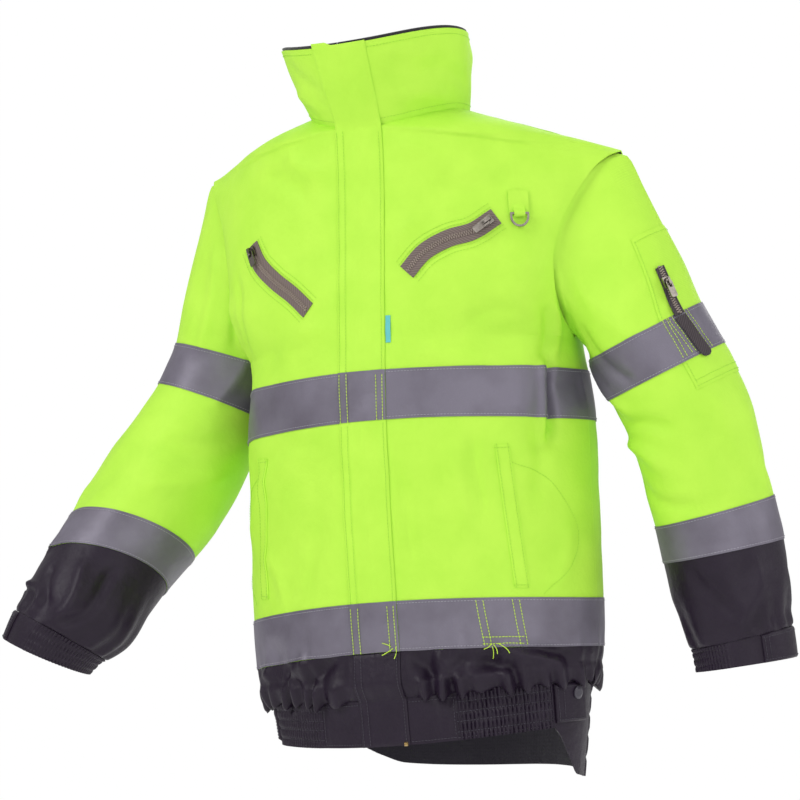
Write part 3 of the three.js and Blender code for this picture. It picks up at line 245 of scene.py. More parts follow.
# Creases of the body: distance across and level of both ends, how far the middle
# bows to the side, width and depth. A trough has a negative depth.
BODY_CREASES = table(
    "face side u0 v0 u1 v1 bow width depth",
    ("front", 1, 30, -350, 44, -470, 5, 9, -1.6),
    ("front", 1, 60, -240, 132, -262, -8, 9, 1.6),
    ("front", 1, 100, -232, 168, -214, 10, 8, -1.8),
    ("front", 1, 190, -205, 182, -262, 6, 6, -3.0),
    ("front", 1, 204, -190, 196, -262, 8, 6, 2.6),
    ("front", 1, 96, -330, 108, -430, -6, 11, 2.2),
    ("front", 1, 112, -332, 122, -420, -4, 6, -1.8),
    ("front", 1, 193, -250, 196, -345, 4, 5, -7.0),
    ("front", 1, 184, -255, 187, -340, 3, 6, 4.0),
    ("front", 1, 176, -330, 170, -400, 8, 9, -2.4),
    ("front", 1, 208, -420, 186, -488, 8, 10, 2.2),
    ("front", 1, 36, -549, 60, -588, 6, 7, -4.2),
    ("front", 1, 58, -549, 78, -580, 6, 7, 3.4),
    ("front", 1, 96, -549, 76, -589, -5, 7, -4.0),
    ("front", 1, 92, -560, 150, -586, 10, 8, -4.0),
    ("front", 1, 118, -549, 196, -576, 8, 8, 3.8),
    ("front", 1, 138, -549, 208, -562, 6, 7, -3.4),
    ("front", -1, 44, -550, 92, -584, 8, 8, -3.8),
    ("front", -1, 76, -549, 124, -574, 8, 8, 3.4),
    ("front", -1, 128, -550, 100, -588, -6, 7, -3.4),
    ("front", -1, 156, -549, 182, -584, 6, 8, 3.2),
    ("back", 1, 40, -552, 76, -588, 8, 8, -2.6),
    ("back", 1, 136, -552, 112, -586, -6, 7, -2.4),
    ("back", -1, 62, -554, 30, -588, 8, 8, -2.6),
    ("back", -1, 120, -550, 150, -586, 8, 7, 2.2),
    ("front", 1, 36, -40, 92, -66, 10, 10, 1.5),
    ("front", 1, 70, -84, 160, -70, -8, 13, -1.4),
    ("front", 1, 40, -150, 66, -118, 8, 9, 1.2),
    ("front", -1, 40, -60, 92, -30, -8, 9, 1.8),
    ("front", -1, 60, -90, 130, -52, 8, 10, -1.8),
    ("front", -1, 168, -150, 176, -232, -8, 7, -2.4),
    ("front", -1, 186, -170, 190, -250, 6, 7, 2.6),
    ("front", -1, 40, -218, 116, -246, 8, 10, 1.3),
    ("front", -1, 56, -330, 150, -352, 9, 9, -1.3),
    ("front", -1, 120, -352, 192, -420, 10, 12, 2.0),
    ("front", -1, 46, -400, 78, -480, 6, 11, -1.6),
    ("front", -1, 150, -430, 118, -490, -8, 9, 1.8),
    ("back", 1, 20, -70, 110, -130, 14, 15, -2.4),
    ("back", 1, 150, -140, 120, -250, 10, 12, 2.6),
    ("back", 1, 172, -150, 160, -262, 8, 9, -2.8),
    ("back", 1, 60, -330, 40, -460, 10, 16, 2.4),
    ("back", 1, 150, -330, 176, -470, -12, 14, -2.8),
    ("back", 1, 100, -430, 120, -492, 8, 10, 2.2),
    ("back", -1, 24, -90, 120, -120, 16, 14, -2.6),
    ("back", -1, 156, -150, 138, -262, 12, 11, 2.8),
    ("back", -1, 178, -170, 170, -262, 6, 8, -2.6),
    ("back", -1, 46, -340, 70, -480, -10, 15, -2.4),
    ("back", -1, 140, -330, 116, -440, 10, 13, 2.6),
    ("back", -1, 188, -360, 170, -480, 8, 12, -2.4),
)

# Creases of the sleeves: column round the sleeve and run of both ends, bow, width and depth
SLEEVE_CREASES = table(
    "word c0 r0 c1 r1 bow width depth",
    ("left", 2.0, 60, 4.6, 150, 8, 8, -2.6),
    ("left", 3.4, 30, 6.0, 110, 8, 9, 2.0),
    ("left", 0.6, 90, 3.4, 176, 6, 8, 3.2),
    ("left", 1.4, 180, 5.4, 214, -10, 8, -2.8),
    ("left", 0.4, 206, 4.4, 250, -10, 9, 3.4),
    ("left", 1.2, 246, 5.8, 286, 8, 8, -2.4),
    ("left", 7.0, 190, 8.6, 282, 10, 13, -1.8),
    ("left", 9.4, 200, 10.6, 290, 6, 12, 1.8),
    ("left", 14.0, 60, 16.6, 170, 12, 12, 2.6),
    ("left", 16.0, 190, 13.0, 290, 12, 12, -2.8),
    ("left", 18.2, 150, 15.6, 250, -8, 10, 3.0),
    ("left", 4.0, 352, 7.2, 420, 8, 7, -2.2),
    ("left", 8.0, 360, 6.0, 424, -8, 8, 2.2),
    ("left", 11.0, 366, 12.8, 424, 6, 8, -2.0),
    ("left", 15.0, 356, 17.0, 420, 6, 8, 2.4),
    ("right", 4.0, 20, 3.2, 96, 8, 8, -2.6),
    ("right", 5.6, 16, 5.2, 110, 6, 8, 2.0),
    ("right", 2.0, 60, 3.6, 160, 8, 8, 2.6),
    ("right", 1.2, 170, 5.4, 214, 12, 10, -2.2),
    ("right", 0.8, 214, 5.0, 262, 10, 10, 2.6),
    ("right", 6.0, 180, 8.4, 292, 16, 16, -1.8),
    ("right", 9.0, 196, 8.2, 290, -8, 12, 1.8),
    ("right", 13.6, 40, 16.0, 170, 12, 12, -2.6),
    ("right", 15.4, 200, 12.6, 300, 12, 14, 2.8),
    ("right", 18.0, 170, 16.4, 280, 8, 10, -2.6),
    ("right", 9.0, 300, 8.4, 356, 4, 5, -1.6),
    ("right", 7.6, 300, 8.0, 350, 4, 5, 1.4),
    ("right", 3.0, 362, 4.4, 426, 8, 7, -3.4),
    ("right", 4.6, 362, 4.8, 426, 6, 7, 3.0),
    ("right", 6.2, 366, 5.6, 420, -6, 7, -3.0),
    ("right", 8.0, 388, 6.2, 424, 8, 6, 2.4),
    ("right", 10.0, 372, 7.4, 404, 8, 7, 2.0),
    ("right", 14.0, 366, 16.4, 424, 8, 8, 2.6),
)


def read_rows(rows, name, at, key="level"):
    """One named column of a table at any height, smooth and without overshoot between its rows."""
    x = np.array([row[key] for row in rows], float)
    y = np.array([row[name] for row in rows], float)
    return smooth_between(x, y, at)


def smooth_between(x, y, at):
    """Values at some places of a curve through known points, monotone between them."""
    step = np.diff(x)
    if y.ndim > 1:
        step = step.reshape(-1, *[1] * (y.ndim - 1))
    rise = np.diff(y, axis=0) / step
    product = rise[:-1] * rise[1:]
    total = rise[:-1] + rise[1:]
    middle = np.where(product > 0, 2 * product / np.where(product > 0, total, 1), 0)
    slope = np.concatenate([rise[:1], middle, rise[-1:]])
    at = np.clip(at, x[0], x[-1])
    i = np.clip(np.searchsorted(x, at, side="right") - 1, 0, len(x) - 2)
    h = np.diff(x)[i]
    t = (at - x[i]) / h
    if y.ndim > 1 and np.ndim(t):
        h = h.reshape(-1, *[1] * (y.ndim - 1))
        t = t.reshape(-1, *[1] * (y.ndim - 1))
    low = y[i] * (1 + 2 * t) * (1 - t) ** 2 + h * slope[i] * t * (1 - t) ** 2
    return low + y[i + 1] * t * t * (3 - 2 * t) + h * slope[i + 1] * t * t * (t - 1)


def smoothstep(x, low, high):
    """0 below low, 1 above high, and a smooth rise between."""
    t = np.clip((x - low) / (high - low), 0, 1)
    return t * t * (3 - 2 * t)


def unit(vectors):
    """Vectors of length one."""
    return vectors / np.maximum(np.linalg.norm(vectors, axis=-1, keepdims=True), 1e-9)


# The plain body, row by row

ROUND = 0.55
LEAST_REACH = 0.35
STRAIGHT_LEVEL = -5
SAG_SPAN = 60
ROW_STEPS = 64


def neck_point(ring, degrees):
    """A point of the neck seam or collar top, from the centre front, 0, to the centre back, 180."""
    angle = np.radians(np.asarray(degrees, float))
    front = np.maximum(0, np.cos(angle)) ** 2
    back = np.maximum(0, -np.cos(angle)) ** 2
    rise = (ring["front_z"] - ring["side_z"]) * front + (ring["back_z"] - ring["side_z"]) * back
    x = ring["wide"] * np.sin(angle)
    y = ring["y"] - ring["deep"] * np.cos(angle)
    return np.stack([x, y, ring["side_z"] + rise], -1)


def row_start(face, level):
    """Where a row starts, at the centre of the body or on the neck seam."""
    if level > NECK:
        share = (level - NECK) / (SHOULDER - NECK)
        return neck_point(NECK_RING, 90 * share if face == "front" else 180 - 90 * share)
    return np.array([0.0, read_rows(BODY_ROWS, face + "_y", level), read_rows(BODY_ROWS, face + "_z", level)])


def row_end(face, level):
    """Where a row ends, at the side seam or on the armhole, and its heading there."""
    if level > ARMPIT:
        x, y, z, turn = (read_rows(ARMHOLE_ROWS, f"{face}_{name}", level) for name in ("x", "y", "z", "turn"))
        return np.array([x, y, z]), math.radians(turn)
    side = [read_rows(SIDE_ROWS, "side_x", level), 0.0, read_rows(SIDE_ROWS, "side_z", level)]
    return np.array(side), math.radians(90)


@functools.lru_cache(maxsize=None)
def body_row(face, level):
    """One row of a body half as a smooth curve: its points and the distance along it at each."""
    start = row_start(face, level)
    end, heading = row_end(face, level)
    away = 1 if face == "front" else -1
    width = end[0] - start[0]
    trail = ROUND * max(abs(end[1] - start[1]), LEAST_REACH * width * math.cos(heading))
    lead_handle = start[:2] + np.array([ROUND * width, 0])
    trail_handle = end[:2] - trail * np.array([math.cos(heading), away * math.sin(heading)])
    u = np.linspace(0, 1, ROW_STEPS + 1)[:, None]
    plan = (1 - u) ** 3 * start[:2] + 3 * (1 - u) ** 2 * u * lead_handle
    plan = plan + 3 * (1 - u) * u**2 * trail_handle + u**3 * end[:2]
    across = np.clip((plan[:, 0] - start[0]) / width, 0, 1)
    sag = 1 + min(max((STRAIGHT_LEVEL - level) / SAG_SPAN, 0), 1)
    points = np.column_stack([plan, start[2] + (end[2] - start[2]) * across**sag])
    run = np.concatenate([[0], np.cumsum(np.linalg.norm(np.diff(points, axis=0), axis=1))])
    return points, run


def row_length(face, level):
    """Length of a row from the centre to the side seam or armhole."""
    return body_row(face, round(float(level), 3))[1][-1]


def plain_points(face, side, level, distance):
    """Points of the unfolded body at some distances along one row."""
    points, run = body_row(face, round(float(level), 3))
    d = np.clip(distance, 0, run[-1])
    p = np.stack([np.interp(d, run, points[:, k]) for k in range(3)], -1)
    p[..., 2] += read_rows(HANG_ROWS, "lift", level) * side * p[..., 0] / LIFT_ARM
    p[..., 0] = side * p[..., 0] + read_rows(HANG_ROWS, "shift", level)
    return p


def fold_height(face, side, points):
    """Height of the solids' folds over the plain surface."""
    total = np.zeros(points.shape[:-1])
    for fold in FOLDS:
        if fold["face"] != face or fold["side"] != side:
            continue
        way = np.array([fold["x1"] - fold["x0"], fold["z1"] - fold["z0"]], float)
        px = points[..., 0] * side - fold["x0"]
        pz = points[..., 2] - fold["z0"]
        t = np.clip((px * way[0] + pz * way[1]) / (way @ way), 0, 1)
        off = np.hypot(px - t * way[0], pz - t * way[1]) / fold["width"]
        total += fold["depth"] * np.exp(-off * off)
    return total


CREASE_STEPS = 20
CREASE_FADE = 0.24
CREASE_STRENGTH = 1.6


def crease_height(u, v, start, end, bow, width, depth):
    """One soft trough or ridge along a bowed line, fading at both ends."""
    start = np.array(start, float)
    end = np.array(end, float)
    way = end - start
    side = np.array([-way[1], way[0]]) / np.linalg.norm(way)
    height = np.zeros(u.shape)
    for k in range(CREASE_STEPS + 1):
        t = k / CREASE_STEPS
        spot = start + way * t + side * bow * 4 * t * (1 - t)
        fade = float(smoothstep(min(t, 1 - t), -0.02, CREASE_FADE))
        near = fade * np.exp(-((u - spot[0]) ** 2 + (v - spot[1]) ** 2) / width**2)
        height = np.maximum(height, near)
    return CREASE_STRENGTH * depth * height


def ripple(u, v, seed, length, count=7):
    """An uneven soft waviness from a few sine waves in seeded directions, from about -1 to 1."""
    draw = np.random.default_rng(seed)
    total = np.zeros(np.broadcast(u, v).shape)
    for _ in range(count):
        angle = draw.uniform(0, math.pi)
        size = length * draw.uniform(0.6, 1.8)
        phase = draw.uniform(0, 2 * math.pi)
        total += np.sin(2 * math.pi * (u * math.cos(angle) + v * math.sin(angle)) / size + phase)
    return total / count * 1.6


def uneven_wave(u, seed, length):
    """Gathers along one direction: ridges of uneven width and height, from 0 to 1."""
    draw = np.random.default_rng(seed)
    phase = draw.uniform(0, 2 * math.pi, 4)
    turn = 2 * math.pi * u / length
    bend = 0.9 * np.sin(turn / 4.3 + phase[0]) + 0.6 * np.sin(turn / 2.1 + phase[1])
    wave = 0.5 + 0.5 * np.sin(turn + bend + phase[2])
    size = 0.72 + 0.28 * np.sin(turn / 3.1 + phase[3])
    return wave * size


def grid_normals(points, outward):
    """Normals of a grid of points, on the side that the rough outward directions point to."""
    down = np.gradient(points, axis=0)
    across = np.gradient(points, axis=1)
    normals = unit(np.cross(down, across))
    flip = np.sum(normals * outward) < 0
    return -normals if flip else normals


class Cloth:
    """A smooth cloth surface, read at any height and any place across it."""

    def __init__(self, heights, across, points, outward):
        self.heights = np.asarray(heights, float)
        self.across = across
        self.points = points
        self.normals = grid_normals(points, outward)

    def row(self, height, places):
        """Points and normals along one row."""
        i = int(np.clip(np.searchsorted(self.heights, height, side="right") - 1, 0, len(self.heights) - 2))
        t = (height - self.heights[i]) / (self.heights[i + 1] - self.heights[i])
        t = min(max(t, 0), 1)

        def mixed(grid):
            rows = [
                np.stack([np.interp(places, self.across[k], grid[k, :, axis]) for axis in range(3)], -1)
                for k in (i, i + 1)
            ]
            return rows[0] * (1 - t) + rows[1] * t

        return mixed(self.points), unit(mixed(self.normals))

    def spots(self, heights, places):
        """Points and normals at matching lists of heights and places."""
        pairs = [self.row(h, np.array([float(p)])) for h, p in zip(heights, places)]
        return np.array([p[0] for p, _ in pairs]), np.array([n[0] for _, n in pairs])


# The creased body surfaces

BODY_STEP = 3.0
BODY_COLUMNS = 92
EDGE_FADE = 10
SEAM_EVEN = 20
GATHER_TOP = -505
GATHER_DEPTH = 5.4
GATHER_PITCH = 21
BLOUSE_TOP = -566
BLOUSE_OUT = 7
BLOUSE_DROP = 9
RIPPLE_HEIGHT = 0.45
SEAM_PUCKER = 0.5
PUCKER_LENGTH = 17
PUCKER_REACH = 7
PUCKER_LEVELS = (-265, -315, -495, -545)


def blouse(face, side, u, v):
    """How far the navy panel bulges out and hangs down over the waistband."""
    wave = uneven_wave(u, {"front": 11, "back": 23}[face] + side, GATHER_PITCH)
    t = np.clip((BLOUSE_TOP - v) / (BLOUSE_TOP - WAIST_SEAM), 0, 1)
    under_flap = 1 - smoothstep(u, FLAP_HALF - 2, FLAP_HALF + 22) if face == "front" else 0
    size = (0.45 + 0.75 * wave) * (1 - 0.85 * under_flap)
    bulge = np.sin(math.pi * t**1.5)
    drop = np.exp(-(((t - 0.8) / 0.2) ** 2)) * (t < 1)
    above = v > WAIST_SEAM
    return BLOUSE_OUT * size * bulge * above, BLOUSE_DROP * size * drop * above


def body_half(face, side):
    """One quarter of the body as a creased cloth, from the hem to the shoulder."""
    levels = np.arange(HEM, SHOULDER + 0.01, BODY_STEP)
    levels = np.unique(np.concatenate([levels, [SHOULDER, WAIST_SEAM, *CHEST_TAPE, *HEM_TAPE, ARMPIT, NECK]]))
    shares = np.linspace(0, 1, BODY_COLUMNS)
    u = np.array([shares * row_length(face, level) for level in levels])
    v = np.repeat(levels[:, None], BODY_COLUMNS, axis=1)
    points = np.array([plain_points(face, side, level, row) for level, row in zip(levels, u)])
    outward = points - np.array([0, -15, 0])
    outward[..., 2] = 0
    normals = grid_normals(points, outward)
    last = u[:, -1:]
    fade = smoothstep(last - u, 0, EDGE_FADE)
    joined = 1 - (1 - fade) * smoothstep(-v, -ARMPIT, SEAM_EVEN - ARMPIT)
    height = joined * fold_height(face, side, points)
    for c in BODY_CREASES:
        if c["face"] == face and c["side"] == side:
            height += fade * crease_height(
                u, v, (c["u0"], c["v0"]), (c["u1"], c["v1"]), c["bow"], c["width"], c["depth"])
    seed = {"front": 40, "back": 60}[face] + side
    height += RIPPLE_HEIGHT * fade * ripple(u, v, seed, 46)
    gather = smoothstep(-v, -GATHER_TOP, -WAIST_SEAM + 8) * (v > WAIST_SEAM)
    wave = uneven_wave(u, {"front": 11, "back": 23}[face] + side, GATHER_PITCH)
    flapped = smoothstep(u, FLAP_HALF, FLAP_HALF + 20) if face == "front" else 1
    height += GATHER_DEPTH * gather * (wave - 0.5) * fade * flapped
    for level in PUCKER_LEVELS:
        near = np.exp(-(((v - level) / PUCKER_REACH) ** 2))
        height += SEAM_PUCKER * near * fade * (uneven_wave(u, seed - int(level), PUCKER_LENGTH) - 0.5)
    out, drop = blouse(face, side, u, v)
    points = points + normals * (height + out)[..., None]
    points[..., 2] -= drop
    return Cloth(levels, u, points, outward)


BODY = {(face, side): body_half(face, side) for face in ("front", "back") for side in (1, -1)}


# Meshes from grids


def patch(cloth, heights, columns):
    """A grid on a cloth. The columns are a list of places, or a function of the height."""
    heights = np.asarray(heights, float)
    places = np.array([columns(h) if callable(columns) else columns for h in heights], float)
    rows = [cloth.row(h, p) for h, p in zip(heights, places)]
    return {
        "points": np.array([p for p, _ in rows]),
        "normals": np.array([n for _, n in rows]),
        "u": places,
        "v": np.repeat(heights[:, None], places.shape[1], axis=1),
    }


def beside(*grids):
    """Grids joined side by side into one."""
    return {key: np.concatenate([grid[key] for grid in grids], axis=1) for key in grids[0]}


def mirrored(grid):
    """The same grid with its columns from the far end, their places counted below zero."""
    turned = {key: value[:, ::-1] for key, value in grid.items()}
    turned["u"] = -turned["u"]
    return turned


def above(*grids):
    """Grids joined one above the other into one."""
    return {key: np.concatenate([grid[key] for grid in grids], axis=0) for key in grids[0]}


def shell_faces(rows, cols, ring, notch):
    """Faces of a closed wall of two layers of a grid, in three groups: outer, inner and rim."""
    count = rows * cols
    spans = cols if ring else cols - 1
    i, j = np.meshgrid(np.arange(rows), np.arange(spans + 1), indexing="ij")
    ids = i * cols + j % cols
    if notch:
        row, column = notch
        ids[: row + 1, column + 1] = ids[: row + 1, column]
    steps = np.array([j for j in range(spans) if not (notch and j == notch[1])])
    a, b = ids[:-1][:, steps], ids[:-1][:, steps + 1]
    c, d = ids[1:][:, steps + 1], ids[1:][:, steps]
    outer = np.stack([a, b, c, d], -1).reshape(-1, 4)
    inner = np.stack([a, d, c, b], -1).reshape(-1, 4) + count
    low, high = ids[0], ids[-1]
    rim = [
        np.stack([low[steps], low[steps] + count, low[steps + 1] + count, low[steps + 1]], -1),
        np.stack([high[steps], high[steps + 1], high[steps + 1] + count, high[steps] + count], -1),
    ]

    def start_edge(column, first=0):
        line = ids[first:, column]
        return np.stack([line[:-1], line[1:], line[1:] + count, line[:-1] + count], -1)

    def end_edge(column, first=0):
        line = ids[first:, column]
        return np.stack([line[:-1], line[:-1] + count, line[1:] + count, line[1:]], -1)

    if not ring:
        rim += [start_edge(0), end_edge(spans)]
    if notch:
        rim += [end_edge(notch[1], notch[0]), start_edge(notch[1] + 1, notch[0])]
    return outer, inner, np.concatenate(rim)


SHARP_ANGLE = math.radians(52)


def make_mesh(name, points, faces, materials, face_material=None, uv=None):
    """A smooth-shaded mesh object from arrays in millimetres, with its faces turned outwards."""
    faces = np.asarray(faces)
    corner = points[faces[:, :3]] if faces.ndim == 2 else None
    volume = np.sum(corner[:, 0] * np.cross(corner[:, 1], corner[:, 2])) if corner is not None else 1
    if faces.shape[1] == 4:
        rest = points[faces[:, [0, 2, 3]]]
        volume += np.sum(rest[:, 0] * np.cross(rest[:, 1], rest[:, 2]))
    if volume < 0:
        faces = faces[:, ::-1]
    mesh = bpy.data.meshes.new(name)
    mesh.vertices.add(len(points))
    mesh.vertices.foreach_set("co", (points * MM).astype(np.float32).ravel())
    width = faces.shape[1]
    mesh.loops.add(faces.size)
    mesh.loops.foreach_set("vertex_index", faces.astype(np.int32).ravel())
    mesh.polygons.add(len(faces))
    mesh.polygons.foreach_set("loop_start", np.arange(0, faces.size, width, dtype=np.int32))
    mesh.polygons.foreach_set("loop_total", np.full(len(faces), width, np.int32))
    for material in materials:
        mesh.materials.append(material)
    if face_material is not None:
        mesh.polygons.foreach_set("material_index", face_material.astype(np.int32))
    mesh.update(calc_edges=True)
    mesh.validate()
    if uv is not None:
        layer = mesh.uv_layers.new(name="UVMap")
        index = np.zeros(len(mesh.loops), np.int32)
        mesh.loops.foreach_get("vertex_index", index)
        layer.data.foreach_set("uv", (uv[index] * MM).astype(np.float32).ravel())
    mesh.polygons.foreach_set("use_smooth", np.ones(len(mesh.polygons), bool))
    mesh.set_sharp_from_angle(angle=SHARP_ANGLE)
    piece = bpy.data.objects.new(name, mesh)
    bpy.context.scene.collection.objects.link(piece)
    return piece


def shell(name, grid, low, high, materials, ring=False, notch=None):
    """A thin closed cloth wall between two heights over a grid. The second material is its inside."""
    points, normals = grid["points"], grid["normals"]
    rows, cols = points.shape[:2]
    shape = (rows, cols)
    outer = points + normals * np.broadcast_to(high, shape)[..., None]
    inner = points + normals * np.broadcast_to(low, shape)[..., None]
    groups = shell_faces(rows, cols, ring, notch)
    inside = 1 if len(materials) > 1 else 0
    face_material = np.concatenate([np.full(len(g), k) for g, k in zip(groups, (0, inside, 0))])
    flat = np.stack([grid["u"], grid["v"]], -1).reshape(-1, 2)
    return make_mesh(
        name, np.concatenate([outer.reshape(-1, 3), inner.reshape(-1, 3)]), np.concatenate(groups),
        materials, face_material, np.concatenate([flat, flat]))


def finish_piece(piece, slot, *nodes, body=GARMENT):
    """Sets what a piece rides on and hides the solids it stands for; its finish, the slot, is not used."""
    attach(piece, body)
    if nodes:
        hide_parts(*nodes)
    return piece


def grid_size(grid, ring=False):
    """Width, height and area of a grid of cloth, in metres, as it was cut before it was creased."""
    points = grid["points"]
    across = np.linalg.norm(np.diff(points, axis=1), axis=-1)
    if ring:
        across = np.concatenate([across, np.linalg.norm(points[:, :1] - points[:, -1:], axis=-1)], axis=1)
    up = np.linalg.norm(np.diff(points, axis=0), axis=-1).sum(0)
    widths = across.sum(1)
    area = float(np.mean(widths) * np.mean(up)) * MM * MM
    return float(widths.max()) * MM, float(up.max()) * MM, area


LEAST_SHARE = 0.31


def declare(grid, ring=False):
    """Works out the width, height and area of a piece's cut as a sheet of cloth, and keeps none of them."""
    width, height, area = grid_size(grid, ring)
    width, height = round(width, 4), round(height, 4)
    area = min(max(area, LEAST_SHARE * width * height), width * height)


# Materials


def start_material(name, color, roughness, specular=0.4, metallic=0.0):
    """A new material with the sockets that are the same all over."""
    material = bpy.data.materials.new(name)
    material.use_nodes = True
    tree = material.node_tree
    shader = tree.nodes["Principled BSDF"]
    shader.inputs["Base Color"].default_value = (*color, 1)
    shader.inputs["Roughness"].default_value = roughness
    shader.inputs["Specular IOR Level"].default_value = specular
    shader.inputs["Metallic"].default_value = metallic
    return material, tree, shader


def node(tree, kind, **settings):
    """A shader node with some of its settings and inputs given."""
    made = tree.nodes.new(kind)
    for key, value in settings.items():
        if hasattr(made, key) and key not in made.inputs:
            setattr(made, key, value)
        else:
            made.inputs[key.replace("_", " ")].default_value = value
    return made


def mix_colors(tree, factor, first, second):
    """A colour between two, by a factor that changes over the surface."""
    mix = tree.nodes.new("ShaderNodeMix")
    mix.data_type = "RGBA"
    mix.inputs["A"].default_value = (*first, 1)
    if isinstance(second, tuple):
        mix.inputs["B"].default_value = (*second, 1)
    else:
        tree.links.new(second, mix.inputs["B"])
    tree.links.new(factor, mix.inputs["Factor"])
    return mix.outputs["Result"]


def ramp(tree, value, low, high):
    """A value spread from low..high to 0..1."""
    spread = node(tree, "ShaderNodeMapRange", clamp=True)
    spread.inputs["From Min"].default_value = low
    spread.inputs["From Max"].default_value = high
    tree.links.new(value, spread.inputs["Value"])
    return spread.outputs["Result"]


WAVE_SPAN = 314.16


def weave_height(tree, pitch_mm, seed_scale=1.0):
    """Height of a plain weave laid along the cloth's own flat coordinates."""
    place = node(tree, "ShaderNodeUVMap", uv_map="UVMap")
    waves = []
    for direction in ("X", "Y"):
        wave = node(tree, "ShaderNodeTexWave", wave_type="BANDS", bands_direction=direction)
        wave.inputs["Scale"].default_value = WAVE_SPAN / pitch_mm
        wave.inputs["Distortion"].default_value = 0.6 * seed_scale
        wave.inputs["Detail"].default_value = 1
        tree.links.new(place.outputs["UV"], wave.inputs["Vector"])
        waves.append(wave.outputs["Fac"])
    product = node(tree, "ShaderNodeMath", operation="MULTIPLY")
    tree.links.new(waves[0], product.inputs[0])
    tree.links.new(waves[1], product.inputs[1])
    return product.outputs[0]


def noise_of(tree, scale, detail=3, stretch=None):
    """Noise over the cloth's place in the row frame, in cells to the metre."""
    place = node(tree, "ShaderNodeTexCoord")
    source = place.outputs["Object"]
    if stretch:
        mapping = node(tree, "ShaderNodeMapping")
        mapping.inputs["Scale"].default_value = stretch
        tree.links.new(source, mapping.inputs["Vector"])
        source = mapping.outputs["Vector"]
    noise = node(tree, "ShaderNodeTexNoise")
    noise.inputs["Scale"].default_value = scale
    noise.inputs["Detail"].default_value = detail
    tree.links.new(source, noise.inputs["Vector"])
    return noise.outputs["Fac"]


def add_bump(tree, shader, heights):
    """Chains bumps on a shader: each is a height socket, its strength and its distance in metres."""
    normal = None
    for height, strength, distance in heights:
        bump = node(tree, "ShaderNodeBump")
        bump.inputs["Strength"].default_value = strength
        bump.inputs["Distance"].default_value = distance
        tree.links.new(height, bump.inputs["Height"])
        if normal is not None:
            tree.links.new(normal, bump.inputs["Normal"])
        normal = bump.outputs["Normal"]
    tree.links.new(normal, shader.inputs["Normal"])


CLOTH_SPECULAR = 0.25


def cloth_material(name, color, shade, roughness, pitch, depth, sheen=0.0, crumple=0.5):
    """Woven cloth: a plain weave with painted shade in its hollows, soft mottling of its colour and a fine
    crumple.
    """
    material, tree, shader = start_material(name, color, roughness, CLOTH_SPECULAR)
    shader.inputs["Sheen Weight"].default_value = sheen
    shader.inputs["Sheen Roughness"].default_value = 0.5
    weave = weave_height(tree, pitch)
    mottle = noise_of(tree, 26, 5)
    tint = mix_colors(tree, ramp(tree, mottle, 0.35, 0.75), color, shade)
    # Painted shade: the colour is darkened where the weave is low, in the hollows between threads.
    dark = tuple(c * 0.8 for c in color)
    mixed = mix_colors(tree, ramp(tree, weave, 0.5, 0.0), color, dark)
    blend = tree.nodes.new("ShaderNodeMix")
    blend.data_type = "RGBA"
    blend.inputs["Factor"].default_value = 0.3
    tree.links.new(tint, blend.inputs["A"])
    tree.links.new(mixed, blend.inputs["B"])
    tree.links.new(blend.outputs["Result"], shader.inputs["Base Color"])
    soft = noise_of(tree, 110, 4)
    add_bump(tree, shader, [(soft, crumple, 0.0012), (weave, depth, 0.0002)])
    return material


def tape_material(name):
    """Reflective tape: glass-bead grain over grey-violet cloth, with scuffs and fine cross lines."""
    base, shade = (0.185, 0.170, 0.215), (0.098, 0.086, 0.112)
    material, tree, shader = start_material(name, base, 0.46, 0.5, 0.25)
    scuff = noise_of(tree, 22, 6)
    grain = noise_of(tree, 2600, 2)
    tint = mix_colors(tree, ramp(tree, scuff, 0.42, 0.72), base, shade)
    beads = mix_colors(tree, ramp(tree, grain, 0.3, 0.7), (0.15, 0.135, 0.175), tint)
    tree.links.new(beads, shader.inputs["Base Color"])
    soft = noise_of(tree, 60, 4)
    weave = weave_height(tree, 0.9)
    add_bump(tree, shader, [(soft, 0.5, 0.0014), (grain, 0.25, 0.0002), (weave, 0.15, 0.0002)])
    return material


def thread_material(name, color):
    """Sewing thread with a fine twist."""
    material, tree, shader = start_material(name, color, 0.6, 0.3)
    twist = noise_of(tree, 3000, 2)
    shade = tuple(c * 0.75 for c in color)
    tree.links.new(mix_colors(tree, twist, color, shade), shader.inputs["Base Color"])
    add_bump(tree, shader, [(twist, 0.3, 0.0002)])
    return material


def metal_material(name, color, roughness):
    """Worn metal: brushed grain and slight dulling."""
    material, tree, shader = start_material(name, color, roughness, 0.5, 0.95)
    wear = noise_of(tree, 160, 3)
    grain = noise_of(tree, 900, 3, (1, 1, 6))
    dull = tuple(c * 0.75 for c in color)
    tree.links.new(mix_colors(tree, ramp(tree, wear, 0.4, 0.75), color, dull), shader.inputs["Base Color"])
    tree.links.new(ramp(tree, wear, 0.0, 2.2), shader.inputs["Roughness"])
    add_bump(tree, shader, [(grain, 0.08, 0.0001)])
    return material


def zip_tape_material(name, color):
    """Woven zip tape with a herringbone of fine slanting ribs."""
    material, tree, shader = start_material(name, color, 0.8, 0.2)
    place = node(tree, "ShaderNodeUVMap", uv_map="UVMap")
    wave = node(tree, "ShaderNodeTexWave", wave_type="BANDS", bands_direction="DIAGONAL")
    wave.inputs["Scale"].default_value = WAVE_SPAN / 1.6
    wave.inputs["Distortion"].default_value = 0.8
    tree.links.new(place.outputs["UV"], wave.inputs["Vector"])
    shade = tuple(c * 0.62 for c in color)
    tree.links.new(mix_colors(tree, wave.outputs["Fac"], color, shade), shader.inputs["Base Color"])
    add_bump(tree, shader, [(wave.outputs["Fac"], 0.5, 0.0003)])
    return material


